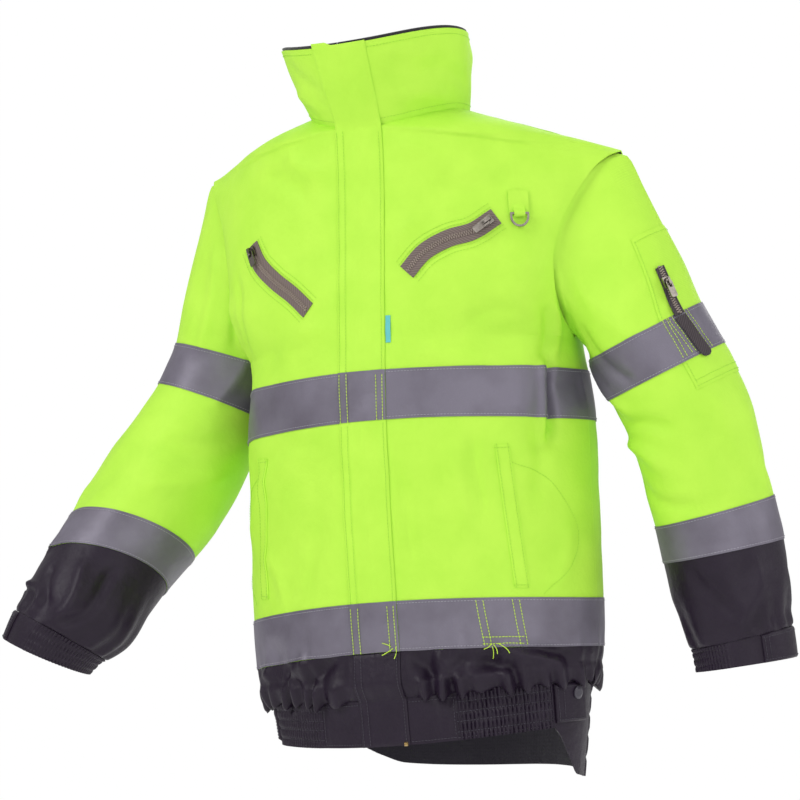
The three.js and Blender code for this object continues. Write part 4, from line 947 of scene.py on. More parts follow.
NEON = cloth_material("neon_cloth", (0.50, 0.86, 0.072), (0.43, 0.80, 0.055), 0.62, 0.9, 0.25, 0.0, 0.5)
NAVY = cloth_material("navy_cloth", (0.013, 0.007, 0.017), (0.021, 0.013, 0.027), 0.4, 0.9, 0.4, 0.0, 0.7)
LINING = cloth_material("lining", (0.022, 0.019, 0.028), (0.03, 0.026, 0.036), 0.8, 2.2, 0.5, 0.25, 0.5)
SILVER = tape_material("reflective_tape")
ZIP_TAPE = zip_tape_material("zip_tape", (0.21, 0.165, 0.15))
DARK_ZIP = zip_tape_material("dark_zip_tape", (0.075, 0.062, 0.068))
TEETH = start_material("zip_teeth", (0.30, 0.245, 0.21), 0.35, 0.5)[0]
METAL = metal_material("metal", (0.24, 0.215, 0.19), 0.4)
BRASS = metal_material("brass", (0.62, 0.42, 0.16), 0.3)
NEON_THREAD = thread_material("neon_thread", (0.62, 0.9, 0.07))
GREEN_THREAD = thread_material("green_thread", (0.40, 0.77, 0.06))
PALE_THREAD = thread_material("pale_thread", (0.42, 0.4, 0.46))
NAVY_THREAD = thread_material("navy_thread", (0.075, 0.068, 0.088))
SNAP = start_material("snap", (0.045, 0.04, 0.055), 0.35, 0.5)[0]
LABEL_CLOTH = cloth_material("label_cloth", (0.09, 0.50, 0.50), (0.26, 0.66, 0.64), 0.7, 0.8, 0.5)


# Sewing


def tangents(points):
    """Unit directions along a line of points."""
    return unit(np.gradient(points, axis=0))


def resample(points, normals, pitch):
    """Points and normals at even steps along a line."""
    run = np.concatenate([[0], np.cumsum(np.linalg.norm(np.diff(points, axis=0), axis=1))])
    at = np.arange(0, run[-1], pitch)
    spread = lambda a: np.stack([np.interp(at, run, a[:, k]) for k in range(3)], -1)
    return spread(points), unit(spread(normals))


STITCH = {"pitch": 3.3, "length": 2.6, "radius": 0.36}
LIFT = 0.12


def stitches(name, lines, material, slot, radius=None, pitch=None):
    """Rows of sewn stitches as one mesh. Each line is its points and the cloth's normals there."""
    radius = radius or STITCH["radius"]
    pitch = pitch or STITCH["pitch"]
    half = pitch * STITCH["length"] / STITCH["pitch"] / 2
    rings = []
    for points, normals in lines:
        centre, normal = resample(points, normals, pitch)
        if len(centre) < 2:
            continue
        way = tangents(centre)
        side = unit(np.cross(way, normal))
        for share, size, lift in ((-1, 0.45, 0.0), (0, 1.0, 0.3), (1, 0.45, 0.0)):
            middle = centre + way * half * share + normal * (LIFT + lift)
            ring = [
                middle + (side * math.cos(a) + normal * math.sin(a)) * radius * size
                for a in (0, math.pi / 2, math.pi, 1.5 * math.pi)
            ]
            rings.append(np.stack(ring, 1))
    starts = [k for k in range(0, len(rings), 3)]
    points, faces, base = [], [], 0
    for k in starts:
        trio = np.stack(rings[k:k + 3], 1)
        count = len(trio)
        points.append(trio.reshape(-1, 3))
        first = base + np.arange(count)[:, None] * 12
        for ring in (0, 4):
            for a in range(4):
                b = (a + 1) % 4
                quad = np.array([ring + a, ring + b, ring + 4 + b, ring + 4 + a])
                faces.append(first + quad)
        faces.append(first + np.array([3, 2, 1, 0]))
        faces.append(first + np.array([8, 9, 10, 11]))
        base += count * 12
    piece = make_mesh(name, np.concatenate(points), np.concatenate(faces), [material])
    return finish_piece(piece, slot)


def tube(points, radius, sides=6):
    """Points and faces of a thin round thread along a line."""
    way = tangents(points)
    side = unit(np.cross(way, np.array([0.13, 0.2, 0.97])))
    up = np.cross(side, way)
    angles = np.arange(sides) * 2 * math.pi / sides
    rings = [points + (side * math.cos(a) + up * math.sin(a)) * radius for a in angles]
    ring_points = np.stack(rings, 1).reshape(-1, 3)
    faces = []
    for i in range(len(points) - 1):
        for a in range(sides):
            b = (a + 1) % sides
            faces.append([i * sides + a, i * sides + b, (i + 1) * sides + b, (i + 1) * sides + a])
    return ring_points, np.array(faces)


def blocks(name, spots, size, material, slot, taper=0.7):
    """Many small moulded blocks as one mesh. Each spot is a place with its three directions."""
    corners = np.array([(x, y, z) for z in (0, 1) for y in (-0.5, 0.5) for x in (-0.5, 0.5)], float)
    quads = np.array([[0, 2, 3, 1], [4, 5, 7, 6], [0, 1, 5, 4], [1, 3, 7, 5], [3, 2, 6, 7], [2, 0, 4, 6]])
    points, faces = [], []
    for k, (place, x, y, z) in enumerate(spots):
        shrink = np.where(corners[:, 2:] > 0, taper, 1.0)
        local = corners * np.array([shrink[:, 0], shrink[:, 0], np.ones(8)]).T * np.array(size)
        points.append(place + local @ np.array([x, y, z]))
        faces.append(quads + 8 * k)
    piece = make_mesh(name, np.concatenate(points), np.concatenate(faces), [material])
    return finish_piece(piece, slot)


def body_line(face, side, levels, distances, height):
    """A line on the body cloth at some height over it."""
    points, normals = BODY[face, side].spots(levels, distances)
    return points + normals * height, normals


def level_line(face, side, level, first, last, height):
    """A line along one row of the body cloth."""
    places = np.arange(first, last, 2.0)
    points, normals = BODY[face, side].row(level, places)
    return points + normals * height, normals


# Body panels


def panel_levels(low, high, step=BODY_STEP):
    """Heights from low to high at about one step."""
    return np.linspace(low, high, max(2, int(round((high - low) / step)) + 1))


def share_columns(face, first, count, end_gap=GAP / 2):
    """Columns from a first distance to the row's end, as a function of the height."""
    shares = np.linspace(0, 1, count)

    def columns(level):
        last = row_length(face, level) - (end_gap if level <= ARMPIT else 0)
        start = first if level <= NECK else 0
        return start + shares * (last - start)

    return columns


PANEL_TOP = SHOULDER - SHOULDER_GAP


def make_fronts():
    """The two neon front panels."""
    for word, side in (("left", 1), ("right", -1)):
        grid = patch(
            BODY["front", side], panel_levels(HEM_TAPE[0] + GAP / 2, PANEL_TOP),
            share_columns("front", ZIP_HALF + GAP, 88))
        piece = shell(f"front_{word}_cloth", grid, -THIN_CLOTH, 0, [NEON, LINING])
        finish_piece(piece, "neon_cloth", f"front_{word}")
        declare(grid)


def both_backs(levels, count):
    """Both back halves as one grid from the wearer's right to left, with the centre column twice."""
    columns = share_columns("back", 0, count)
    return beside(mirrored(patch(BODY["back", -1], levels, columns)), patch(BODY["back", 1], levels, columns))


def make_back():
    """The neon back panel, notched at the neck."""
    below = panel_levels(HEM_TAPE[0] + GAP / 2, NECK)
    levels = np.concatenate([below, panel_levels(NECK, PANEL_TOP)[1:]])
    count = 84
    grid = both_backs(levels, count)
    piece = shell("back_cloth", grid, -THIN_CLOTH, 0, [NEON, LINING], notch=(len(below) - 1, count - 1))
    finish_piece(piece, "neon_cloth", "back")
    declare(grid)


def without_twin(grid, column):
    """The grid without one of its two centre columns."""
    return {key: np.delete(value, column, axis=1) for key, value in grid.items()}


def make_lower_panels():
    """The gathered navy panels over the waistband."""
    levels = panel_levels(WAIST_SEAM + GAP / 2, HEM_TAPE[0] - GAP / 2, 1.6)
    for word, side in (("left", 1), ("right", -1)):
        grid = patch(BODY["front", side], levels, share_columns("front", ZIP_HALF + GAP, 118))
        piece = shell(f"lower_front_{word}_cloth", grid, -THIN_CLOTH, 0, [NAVY, LINING])
        finish_piece(piece, "navy_cloth", f"lower_front_{word}")
        declare(grid)
    count = 112
    grid = without_twin(both_backs(levels, count), count)
    piece = shell("lower_back_cloth", grid, -THIN_CLOTH, 0, [NAVY, LINING])
    finish_piece(piece, "navy_cloth", "lower_back")
    declare(grid)


TAPE_BANDS = (("chest", CHEST_TAPE), ("hem", HEM_TAPE))
EDGE_IN = 2.6


def make_body_tapes():
    """Reflective bands round the body, with a pale line of stitches along each edge."""
    lines = []
    for word, (foot, top) in TAPE_BANDS:
        levels = panel_levels(foot + (GAP / 2 if word == "hem" else 0), top, 2.5)
        for hand, side in (("left", 1), ("right", -1)):
            grid = patch(BODY["front", side], levels, share_columns("front", FLAP_HALF + GAP, 110))
            piece = shell(f"tape_{word}_front_{hand}_cloth", grid, GAP, GAP + TAPE, [SILVER])
            finish_piece(piece, "reflective_tape", f"tape_{word}_front_{hand}")
            declare(grid)
            for level in (foot + EDGE_IN, top - EDGE_IN):
                last = row_length("front", level) - 1
                lines.append(level_line("front", side, level, FLAP_HALF + 1, last, GAP + TAPE))
                lines.append(level_line("back", side, level, 0, row_length("back", level) - 1, GAP + TAPE))
        count = 90
        grid = without_twin(both_backs(levels, count), count)
        piece = shell(f"tape_{word}_back_cloth", grid, GAP, GAP + TAPE, [SILVER])
        finish_piece(piece, "reflective_tape", f"tape_{word}_back")
        declare(grid)
    stitches("tape_stitches", lines, PALE_THREAD, "reflective_tape", radius=0.3)


# Waistband

CHANNELS = (-601, -611, -620, -630)
TAB_WALL = 2.6
PINCH = 1.3


def rib_height(distance, level, first, last, pitch=RIB_PITCH, channels=CHANNELS, size=RIB_HEIGHT):
    """Raised elastic ribs, uneven and pinched flat along the sewn channels."""
    wobble = 0.7 * np.sin(distance * 0.21 + level * 0.05) + 0.35 * np.sin(distance * 0.63 - level * 0.11)
    wave = np.abs(np.sin(math.pi * (distance - first) / pitch + 0.35 * wobble)) ** 0.8
    pinch = 1 - 0.75 * sum(np.exp(-(((level - c) / PINCH) ** 2)) for c in channels)
    ends = smoothstep(distance, first, first + pitch) * (1 - smoothstep(distance, last - pitch, last))
    return size * wave * np.clip(pinch, 0.1, 1) * ends


def let_down(grid, place_of):
    """Lets the hem edge of a grid down by the tail's drop, less at each row above it."""
    levels = grid["v"][:, 0]
    share = (levels - levels[0]) / (levels[-1] - levels[0])
    drop = read_rows(TAIL_ROWS, "drop", place_of, "at")[None, :] * (1 - share[:, None]) ** TAIL_EASE
    near = np.exp(-(((np.abs(place_of) - 1) / TAIL_SEAM) ** 2))[None, :, None]
    sideways = np.sign(place_of)[None, :, None] * np.array([1.0, 0, 0])
    out = unit(grid["normals"] * (1 - near) + sideways * near)
    grid["points"] = grid["points"] - out * (TAIL_TUCK * drop)[..., None]
    grid["points"][..., 2] -= drop
    return grid


def make_waistband():
    """Plain, elastic and side pieces of the waistband in front, its tabs, and its longer back."""
    levels = panel_levels(HEM, WAIST_SEAM - GAP / 2, 1.6)
    lines = []
    length = row_length("front", HEM)
    first = ELASTIC_END + GAP / 2
    parts = np.linspace(0, 1, 26)

    def side_columns(level):
        return first + parts * (row_length("front", level) - GAP / 2 - first)

    distances = side_columns(HEM)
    for word, side in (("left", 1), ("right", -1)):
        cloth = BODY["front", side]
        plain = patch(cloth, levels, np.linspace(ZIP_HALF + GAP, PLAIN_END - GAP / 2, 30))
        pucker = 0.5 * (uneven_wave(plain["u"], 70 + side, 12) - 0.5) * smoothstep(plain["u"], 30, 70)
        piece = shell(f"waistband_front_{word}_cloth", plain, -THIN_CLOTH, pucker, [NAVY, LINING])
        finish_piece(piece, "navy_cloth", f"waistband_front_{word}")
        declare(plain)
        elastic = patch(cloth, levels, np.arange(PLAIN_END + GAP / 2, ELASTIC_END - GAP / 2, 0.6))
        ridge = rib_height(elastic["u"], elastic["v"], PLAIN_END, ELASTIC_END)
        piece = shell(f"waistband_elastic_{word}_cloth", elastic, -THIN_CLOTH, ridge, [NAVY, LINING])
        finish_piece(piece, "navy_cloth", f"waistband_elastic_{word}")
        declare(elastic)
        grid = let_down(patch(cloth, levels, side_columns), side * (1 + (length - distances) / length))
        piece = shell(f"waistband_side_{word}_cloth", grid, -THIN_CLOTH, 0, [NAVY, LINING])
        finish_piece(piece, "navy_cloth", f"waistband_side_{word}")
        declare(grid)
        tab = patch(cloth, panel_levels(HEM + 4, WAIST_SEAM - 3, 1.8), distances)
        edge = soft_edge(tab, GAP + SEAT, GAP + SEAT + TAB_WALL)
        piece = shell(f"waistband_tab_{word}_cloth", tab, GAP + SEAT, edge, [NAVY])
        finish_piece(piece, "navy_cloth", f"waistband_tab_{word}")
        declare(tab)
        for level in (*CHANNELS, HEM + 2.5):
            lines.append(level_line("front", side, level, PLAIN_END, ELASTIC_END, 0.75))
        for level in (HEM + 3, WAIST_SEAM - 4):
            lines.append(level_line("front", side, level, FLAP_HALF + 3, PLAIN_END, 0.35))
        over = GAP + SEAT + TAB_WALL + 0.1
        for level in (HEM + 7, WAIST_SEAM - 6):
            lines.append(level_line("front", side, level, ELASTIC_END + 3, length - 3, over))
        column = np.arange(HEM + 7, WAIST_SEAM - 6, 2.0)
        for place in (ELASTIC_END + 3, ELASTIC_END + 10):
            lines.append(body_line("front", side, column, np.full(len(column), place), over))
        lines.append(body_line("front", side, column, np.full(len(column), PLAIN_END - 3), 0.35))
    count = 300
    grid = without_twin(both_backs(levels, count), count)
    shares = np.linspace(0, 1, count)
    grid = let_down(grid, np.concatenate([-shares[::-1], shares[1:]]))
    reach = np.abs(grid["u"])
    ridge = rib_height(reach, grid["v"], 40, 190)
    piece = shell("waistband_back_cloth", grid, -THIN_CLOTH, ridge, [NAVY, LINING])
    finish_piece(piece, "navy_cloth", "waistband_back")
    declare(grid)
    stitches("waistband_stitches", lines, NAVY_THREAD, "navy_cloth", radius=0.32)


def soft_edge(grid, low, high, share=0.35):
    """A wall's outer height, lowered along its rim so that the edge looks turned and pressed."""
    height = np.full(grid["v"].shape, float(high))
    edge = low + (high - low) * share
    height[0, :] = height[-1, :] = edge
    height[:, 0] = height[:, -1] = edge
    return height


# Collar

COLLAR_FOOT = -0.03
COLLAR_TOP = 1.0
LINING_TOP = 1.03
LINING_OPEN = 0.3


def collar_points(height, degrees):
    """Points of the plain collar at one height, at some angles."""
    turned = np.abs(degrees)
    low = neck_point(NECK_RING, turned)
    high = neck_point(COLLAR_RING, turned)
    p = low + (high - low) * height
    angle = np.radians(turned)
    bow = COLLAR_BOW * math.sin(math.pi * min(height, 1))
    p[..., 0] += bow * np.sin(angle)
    p[..., 1] -= bow * np.cos(angle)
    side = np.where(degrees < 0, -1, 1)
    lift = read_rows(HANG_ROWS, "lift", SHOULDER)
    p[..., 2] += (lift + (COLLAR_LIFT - lift) * height) * side * p[..., 0] / LIFT_ARM
    p[..., 0] *= side
    return p


COLLAR_CREASES = table(
    "a0 h0 a1 h1 bow width depth",
    (30, 20, 70, 8, 6, 9, 1.8),
    (44, 44, 96, 20, 8, 10, -1.6),
    (20, 66, 60, 50, 6, 10, 1.2),
    (-26, 12, -60, 30, -6, 8, 1.8),
    (-20, 40, -50, 66, 6, 9, -1.5),
    (110, 60, 160, 30, 8, 14, 1.8),
    (-100, 56, -160, 24, 8, 14, -1.8),
)
COLLAR_TALL = 82
COLLAR_COLUMN = 2.6


def collar_surface():
    """The collar as a creased cloth, from one side of its opening round the back to the other."""
    heights = np.linspace(COLLAR_FOOT - 0.01, 1.08, 38)
    angles = np.linspace(-182, 182, 241)
    points = np.array([collar_points(h, angles) for h in heights])
    outward = points - np.array([0, NECK_RING["y"] - 12, 0])
    outward[..., 2] = 0
    normals = grid_normals(points, outward)
    tall = np.repeat(heights[:, None] * COLLAR_TALL, len(angles), axis=1)
    turn = np.repeat(angles[None, :], len(heights), axis=0)
    height = 0.5 * ripple(turn * 1.6, tall, 91, 40)
    for c in COLLAR_CREASES:
        height += crease_height(
            turn * 1.6, tall, (c["a0"] * 1.6, c["h0"]), (c["a1"] * 1.6, c["h1"]),
            c["bow"], c["width"], c["depth"])
    height *= smoothstep(tall, 0, 10)
    across = np.repeat(angles[None, :], len(heights), axis=0)
    return Cloth(heights, across, points + normals * height[..., None], outward)


COLLAR = collar_surface()


def make_collar():
    """The neon stand collar and the dark lining that shows along its top."""
    for name, opening, low, high, top, material, node_name, slot in (
        ("collar_cloth", COLLAR_OPEN, -THIN_CLOTH, 0, COLLAR_TOP, NEON, "collar", "neon_cloth"),
        ("collar_lining_cloth", LINING_OPEN, -CLOTH - GAP - 1, -THIN_CLOTH - GAP, LINING_TOP, LINING,
         "collar_lining", "lining"),
    ):
        heights = np.linspace(COLLAR_FOOT, top, 32)
        turns = np.linspace(opening, 180, 111)
        left = patch(COLLAR, heights, turns)
        right = patch(COLLAR, heights, -turns[:-1][::-1])
        grid = beside(left, right)
        count = grid["u"].shape[1]
        grid["u"] = np.repeat(np.arange(count)[None, :] * COLLAR_COLUMN, len(heights), axis=0)
        grid["v"] = np.repeat(heights[:, None] * COLLAR_TALL, count, axis=1)
        piece = shell(name, grid, low, high, [material])
        finish_piece(piece, slot, node_name)
        declare(grid)
    lines = []
    for height in (0.07, 0.93):
        for turns in (np.arange(FLAP_TURN + 1, 180, 2.0), -np.arange(FLAP_TURN + 1, 180, 2.0)[::-1]):
            lines.append(COLLAR.row(height, turns))
    stitches("collar_stitches", lines, GREEN_THREAD, "neon_cloth", radius=0.3)


# Front closure

FLAP_WALL = 1.9
COLLAR_THINNER = 0.5
ZIP_TOP = 0.98
FLAP_TOP = 1.02
FLAP_RISE = 1.04
BEND_ROWS = 3


def closure_grid(levels, heights, distances):
    """A grid over both fronts and up the collar, across the centre."""
    rights = patch(BODY["front", -1], levels, np.sort(-distances[distances < 0]))
    lefts = patch(BODY["front", 1], levels, distances[distances >= 0])
    lower = beside(mirrored(rights), lefts)
    if not len(heights):
        return lower
    turns = distances * FLAP_TURN / FLAP_HALF
    upper = patch(COLLAR, heights, turns)
    raised = patch(COLLAR, np.asarray(heights) * FLAP_RISE, turns)
    free = smoothstep(-distances, 5, 12)[None, :, None]
    for key in ("points", "normals"):
        upper[key] = upper[key] * (1 - free) + raised[key] * free
    upper["u"] = np.repeat(distances[None, :], len(heights), axis=0)
    upper["v"] = upper["v"] * COLLAR_TALL + NECK
    grid = above(lower, upper)
    seam = len(levels)
    for _ in range(BEND_ROWS):
        for key in ("points", "normals"):
            middle = grid[key][seam - 4:seam + 4].copy()
            grid[key][seam - 3:seam + 3] = (middle[:-2] + 2 * middle[1:-1] + middle[2:]) / 4
    grid["normals"] = unit(grid["normals"])
    return grid


def flap_height(grid, low, high):
    """The flap's outer height: pressed edges, a slightly lifted free edge and soft ripples."""
    height = soft_edge(grid, low, high)
    free = smoothstep(-grid["u"], 12, FLAP_HALF)
    height = height + 0.7 * free + 0.35 * ripple(grid["u"], grid["v"], 77, 38)
    return low + (height - low) * (1 - COLLAR_THINNER * smoothstep(grid["v"], NECK - 4, NECK + 26))


def make_closure():
    """The hidden zip strip, and the storm flap with its reflective sections."""
    levels = panel_levels(HEM, NECK, 4)
    strip = np.array([-ZIP_HALF + 0.1, -0.5, 0.5, ZIP_HALF - 0.1])
    grid = closure_grid(levels, np.linspace(0.03, ZIP_TOP, 12), strip)
    piece = shell("front_zip_cloth", grid, -THIN_CLOTH, -0.1, [ZIP_TAPE])
    finish_piece(piece, "zip_tape", "front_zip")
    columns = np.linspace(-FLAP_HALF, FLAP_HALF, 30)
    seam = HEM_TAPE[0]
    parts = (
        ("storm_flap_lower", panel_levels(HEM, seam - GAP / 2, 2.5), [], NAVY, "navy_cloth"),
        ("storm_flap", panel_levels(seam + GAP / 2, NECK, 2.8), np.linspace(0.03, FLAP_TOP, 30), NEON,
         "neon_cloth"),
    )
    for name, heights, collar_heights, material, slot in parts:
        grid = closure_grid(heights, collar_heights, columns)
        piece = shell(f"{name}_cloth", grid, GAP, flap_height(grid, GAP, GAP + FLAP_WALL), [material])
        finish_piece(piece, slot, name)
        declare(grid)
    lines = []
    for word, (foot, top) in TAPE_BANDS:
        grid = closure_grid(panel_levels(foot + (GAP / 2 if word == "hem" else 0), top, 2.5), [], columns)
        base = flap_height(grid, GAP, GAP + FLAP_WALL)
        base[0, :], base[-1, :] = base[1, :], base[-2, :]
        piece = shell(f"tape_{word}_flap_cloth", grid, base + 0.15, base + 0.15 + TAPE, [SILVER])
        finish_piece(piece, "reflective_tape", f"tape_{word}_flap")
        declare(grid)
        column = np.arange(foot + 1, top - 1, 2.0)
        for place in (-FLAP_HALF + 3, -FLAP_HALF + 11, FLAP_HALF - 9, FLAP_HALF - 2.5):
            side = -1 if place < 0 else 1
            over = GAP + FLAP_WALL + TAPE + (1.0 if place < -10 else 0.45)
            lines.append(body_line("front", side, column, np.full(len(column), abs(place)), over))
    stitches("flap_tape_stitches", lines, NEON_THREAD, "neon_cloth", radius=0.5)
    seams = []
    navy = []
    for place in (-FLAP_HALF + 3, -FLAP_HALF + 10, FLAP_HALF - 3):
        side = -1 if place < 0 else 1
        over = GAP + FLAP_WALL + (0.75 if place < -10 else 0.2)
        for low, high, target in (
            (CHEST_TAPE[1] + 1, NECK - 2, seams),
            (HEM_TAPE[1] + 1, CHEST_TAPE[0] - 1, seams),
            (HEM + 3, HEM_TAPE[0] - 1, navy),
        ):
            column = np.arange(low, high, 2.5)
            target.append(body_line("front", side, column, np.full(len(column), abs(place)), over))
    stitches("flap_stitches", seams, GREEN_THREAD, "neon_cloth", radius=0.3)
    stitches("flap_navy_stitches", navy, NAVY_THREAD, "navy_cloth", radius=0.32)


# Sleeves


def sleeve_frame(word, run):
    """Centre, directions and half sizes of a sleeve section."""
    rows = SLEEVES[word]
    place = lambda at: np.array([float(read_rows(rows, name, at, "run")) for name in ("x", "y", "z")])
    centre = place(run)
    axis = unit(place(run + 12) - place(run - 12))
    deep_way = unit(np.array([0, 1, 0]) - axis * axis[1])
    wide_way = unit(np.cross(axis, deep_way))
    wide_way = wide_way * np.sign(wide_way[0] * centre[0])
    if word == "right":
        turn = math.radians(float(read_rows(RIGHT_TURN, "turn", run, "run")))
        wide_way = wide_way + axis * math.tan(turn)
    wide, deep = (float(read_rows(rows, name, run, "run")) for name in ("wide", "deep"))
    return centre, wide_way, deep_way, wide, deep


def sleeve_ring(word, run, columns):
    """A plain elliptical section of a sleeve at some columns round it."""
    centre, wide_way, deep_way, wide, deep = sleeve_frame(word, run)
    angle = np.pi * np.asarray(columns) / (SLEEVE_COLUMNS / 2)
    return centre - wide * np.cos(angle)[:, None] * wide_way - deep * np.sin(angle)[:, None] * deep_way


def head_ring(word, columns, tuck, height):
    """A ring of the sleeve head, from its distance inside the armhole edge and its height over it."""
    side = 1 if word == "left" else -1
    half = SLEEVE_COLUMNS // 2
    ring = []
    for column in columns:
        face = "front" if column <= half else "back"
        counted = column if face == "front" else 2 * half - column
        level = float(np.interp(counted, range(half + 1), ARMHOLE_LEVELS))
        share = (level - ARMPIT) / (SHOULDER - ARMPIT)
        under = max(0.0, 1 - share / UNDERARM_SHARE)
        length = row_length(face, level)
        edge = plain_points(face, side, level, np.array([length]))[0]
        normal = edge_normal(face, side, level)
        inner = unit(plain_points(face, side, level, np.array([length - TUCK]))[0] - edge)
        way = unit(inner * (1 - under**2) + np.array([0, 0, -under]))
        way = unit(way - normal * (way @ normal))
        ring.append(edge + way * tuck(under) + normal * height(under))
    return np.array(ring)


def edge_normal(face, side, level):
    """Outward normal of the plain body at a row's end, shared by both faces at the seams."""
    total = np.zeros(3)
    faces = (face,) if ARMPIT + 1 < level < SHOULDER - 1 else ("front", "back")
    for f in faces:
        length = row_length(f, level)
        low, high = max(level - 2, HEM), min(level + 2, SHOULDER)
        end = np.array([length])
        up = plain_points(f, side, high, end)[0] - plain_points(f, side, low, end)[0]
        across = plain_points(f, side, level, np.array([length, length - 3]))
        n = unit(np.cross(up, across[0] - across[1]))
        wrong = n[1] > 0 if f == "front" else n[1] < 0
        if wrong or (abs(n[1]) < 0.3 and n[0] * side < 0):
            n = -n
        total += n
    return unit(total)


SLEEVE_FINE = 180
SLEEVE_STEP = 3.0
SLEEVE_RUNS = (182, 215, 255, 375, 405)
RUN_HIDDEN, RUN_EDGE, RUN_OVER = 0, 4, 8


def round_between(ring, count):
    """A closed ring of points made finer, smooth through the given ones."""
    n = len(ring)
    at = np.arange(count) * n / count
    i = np.floor(at).astype(int)
    t = (at - i)[:, None]
    p0, p1, p2, p3 = (ring[(i + k) % n] for k in (-1, 0, 1, 2))
    bend = 2 * p0 - 5 * p1 + 4 * p2 - p3
    turn = 3 * p1 - p0 - 3 * p2 + p3
    return 0.5 * (2 * p1 + (p2 - p0) * t + bend * t**2 + turn * t**3)


FOREARM_GATHER = 3.4
ARM_RADIUS = 62


def sleeve_surface(word):
    """A whole sleeve as a creased cloth, from inside the armhole to the end of the cuff."""
    columns = np.arange(SLEEVE_COLUMNS)
    below = -CLOTH - HEAD_CLEAR
    over_height = lambda under: below + (RIM_CLEAR + 2 * HEAD_CLEAR) * min(1, 1.5 * under)
    hidden = head_ring(word, columns, lambda under: TUCK, lambda under: below)
    edge = head_ring(word, columns, lambda under: -RIM_CLEAR, lambda under: below)
    over = head_ring(word, columns, lambda under: -RIM_CLEAR * (2 - 1.5 * under), over_height)
    first_run = SLEEVES[word][0]["run"]
    first = sleeve_ring(word, first_run, columns)
    centre = sleeve_frame(word, first_run)[0]
    runs, rings = [RUN_HIDDEN, RUN_EDGE, RUN_OVER], [hidden, edge, over]
    upper = ((columns > HEAD_FREE) & (columns < SLEEVE_COLUMNS - HEAD_FREE)).astype(float)
    for step in HEAD_STEPS:
        q = over + (first - over) * step
        away = q - centre
        away[:, 1] = 0
        rings.append(q + unit(away) * (HEAD_BULGE * math.sin(math.pi * step) * upper)[:, None])
        runs.append(first_run * step)
    for run in sorted({*(row["run"] for row in SLEEVES[word]), *SLEEVE_RUNS, 125}):
        runs.append(run)
        rings.append(sleeve_ring(word, run, columns))
    fine = np.array([round_between(ring, SLEEVE_FINE) for ring in rings])
    heights = np.unique(np.concatenate([
        np.arange(12, CUFF[word][1], SLEEVE_STEP), [0, 4, 8, *ARM_TAPE, *LOW_ARM_TAPE[word], *CUFF[word]]]))
    points = smooth_between(np.array(runs, float), fine, heights)
    points = np.concatenate([points, points[:, :1]], axis=1)
    place = np.linspace(0, SLEEVE_COLUMNS, SLEEVE_FINE + 1)
    u = np.repeat(place[None, :], len(heights), axis=0)
    v = np.repeat(heights[:, None], SLEEVE_FINE + 1, axis=1)
    outward = points - points[:, :-1].mean(1)[:, None, :]
    normals = grid_normals(points, outward)
    to_mm = AROUND / SLEEVE_COLUMNS
    height = np.zeros(u.shape)
    for c in SLEEVE_CREASES:
        if c["word"] != word:
            continue
        for wrap in (-AROUND, 0, AROUND):
            height += crease_height(
                u * to_mm + wrap, v, (c["c0"] * to_mm, c["r0"]), (c["c1"] * to_mm, c["r1"]),
                c["bow"], c["width"], c["depth"])
    angle = u / SLEEVE_COLUMNS * 2 * math.pi
    seed = 30 if word == "left" else 31
    along = ripple(np.cos(angle) * ARM_RADIUS, v, seed, 50)
    beside_it = ripple(np.sin(angle) * ARM_RADIUS, v, seed + 5, 40)
    height += 0.5 * along + 0.3 * beside_it
    cuff = CUFF[word][0]
    gather = smoothstep(v, LOW_ARM_TAPE[word][1] + 18, cuff - 4) * (1 - smoothstep(v, cuff - 3, cuff))
    wave = 0.5 + 0.5 * np.sin(angle * 11 + 1.3 * np.sin(angle * 3 + seed) + 0.7 * np.sin(angle * 2))
    height += FOREARM_GATHER * gather * (wave - 0.25)
    height *= smoothstep(v, 6, 26) * (1 - smoothstep(v, cuff - 2, cuff))
    height[:, -1] = height[:, 0]
    return Cloth(heights, u, points + normals * height[..., None], outward)


SLEEVE = {word: sleeve_surface(word) for word in ("left", "right")}


def close_seam(cloth):
    """Makes the normals of the first and last column of a sleeve the same."""
    shared = unit(cloth.normals[:, 0] + cloth.normals[:, -1])
    cloth.normals[:, 0] = shared
    cloth.normals[:, -1] = shared


for each in SLEEVE.values():
    close_seam(each)

RING = np.arange(SLEEVE_FINE) * SLEEVE_COLUMNS / SLEEVE_FINE


def ring_grid(word, heights, places=RING):
    """A grid round a sleeve, with its columns in millimetres for the weave."""
    grid = patch(SLEEVE[word], heights, places)
    grid["u"] = grid["u"] * AROUND / SLEEVE_COLUMNS
    return grid


# The sleeve pocket's patch, zip and garage

POCKET = {"from": 50, "to": 182, "first": 7, "last": 12, "wall": 1.0}
SLEEVE_ZIP = {"top": 72, "foot": 102, "column": 7.92, "slant": 0.0053, "half": 0.28}
GARAGE = {"top": 103.5, "foot": 155, "half": 0.33, "thick": 1.9}
TAPE_SLOPE = 8


def zip_seat(run):
    """Height of the sleeve zip over the sleeve's wall, higher where it passes the tape."""
    top, foot = ARM_TAPE
    rise = smoothstep(run, top - TAPE_SLOPE - 2, top - 2)
    fall = smoothstep(run, foot + 2, foot + TAPE_SLOPE + 2)
    return 2 * GAP + 1.2 + SEAT + rise * (1 - fall) * (1 + GAP)


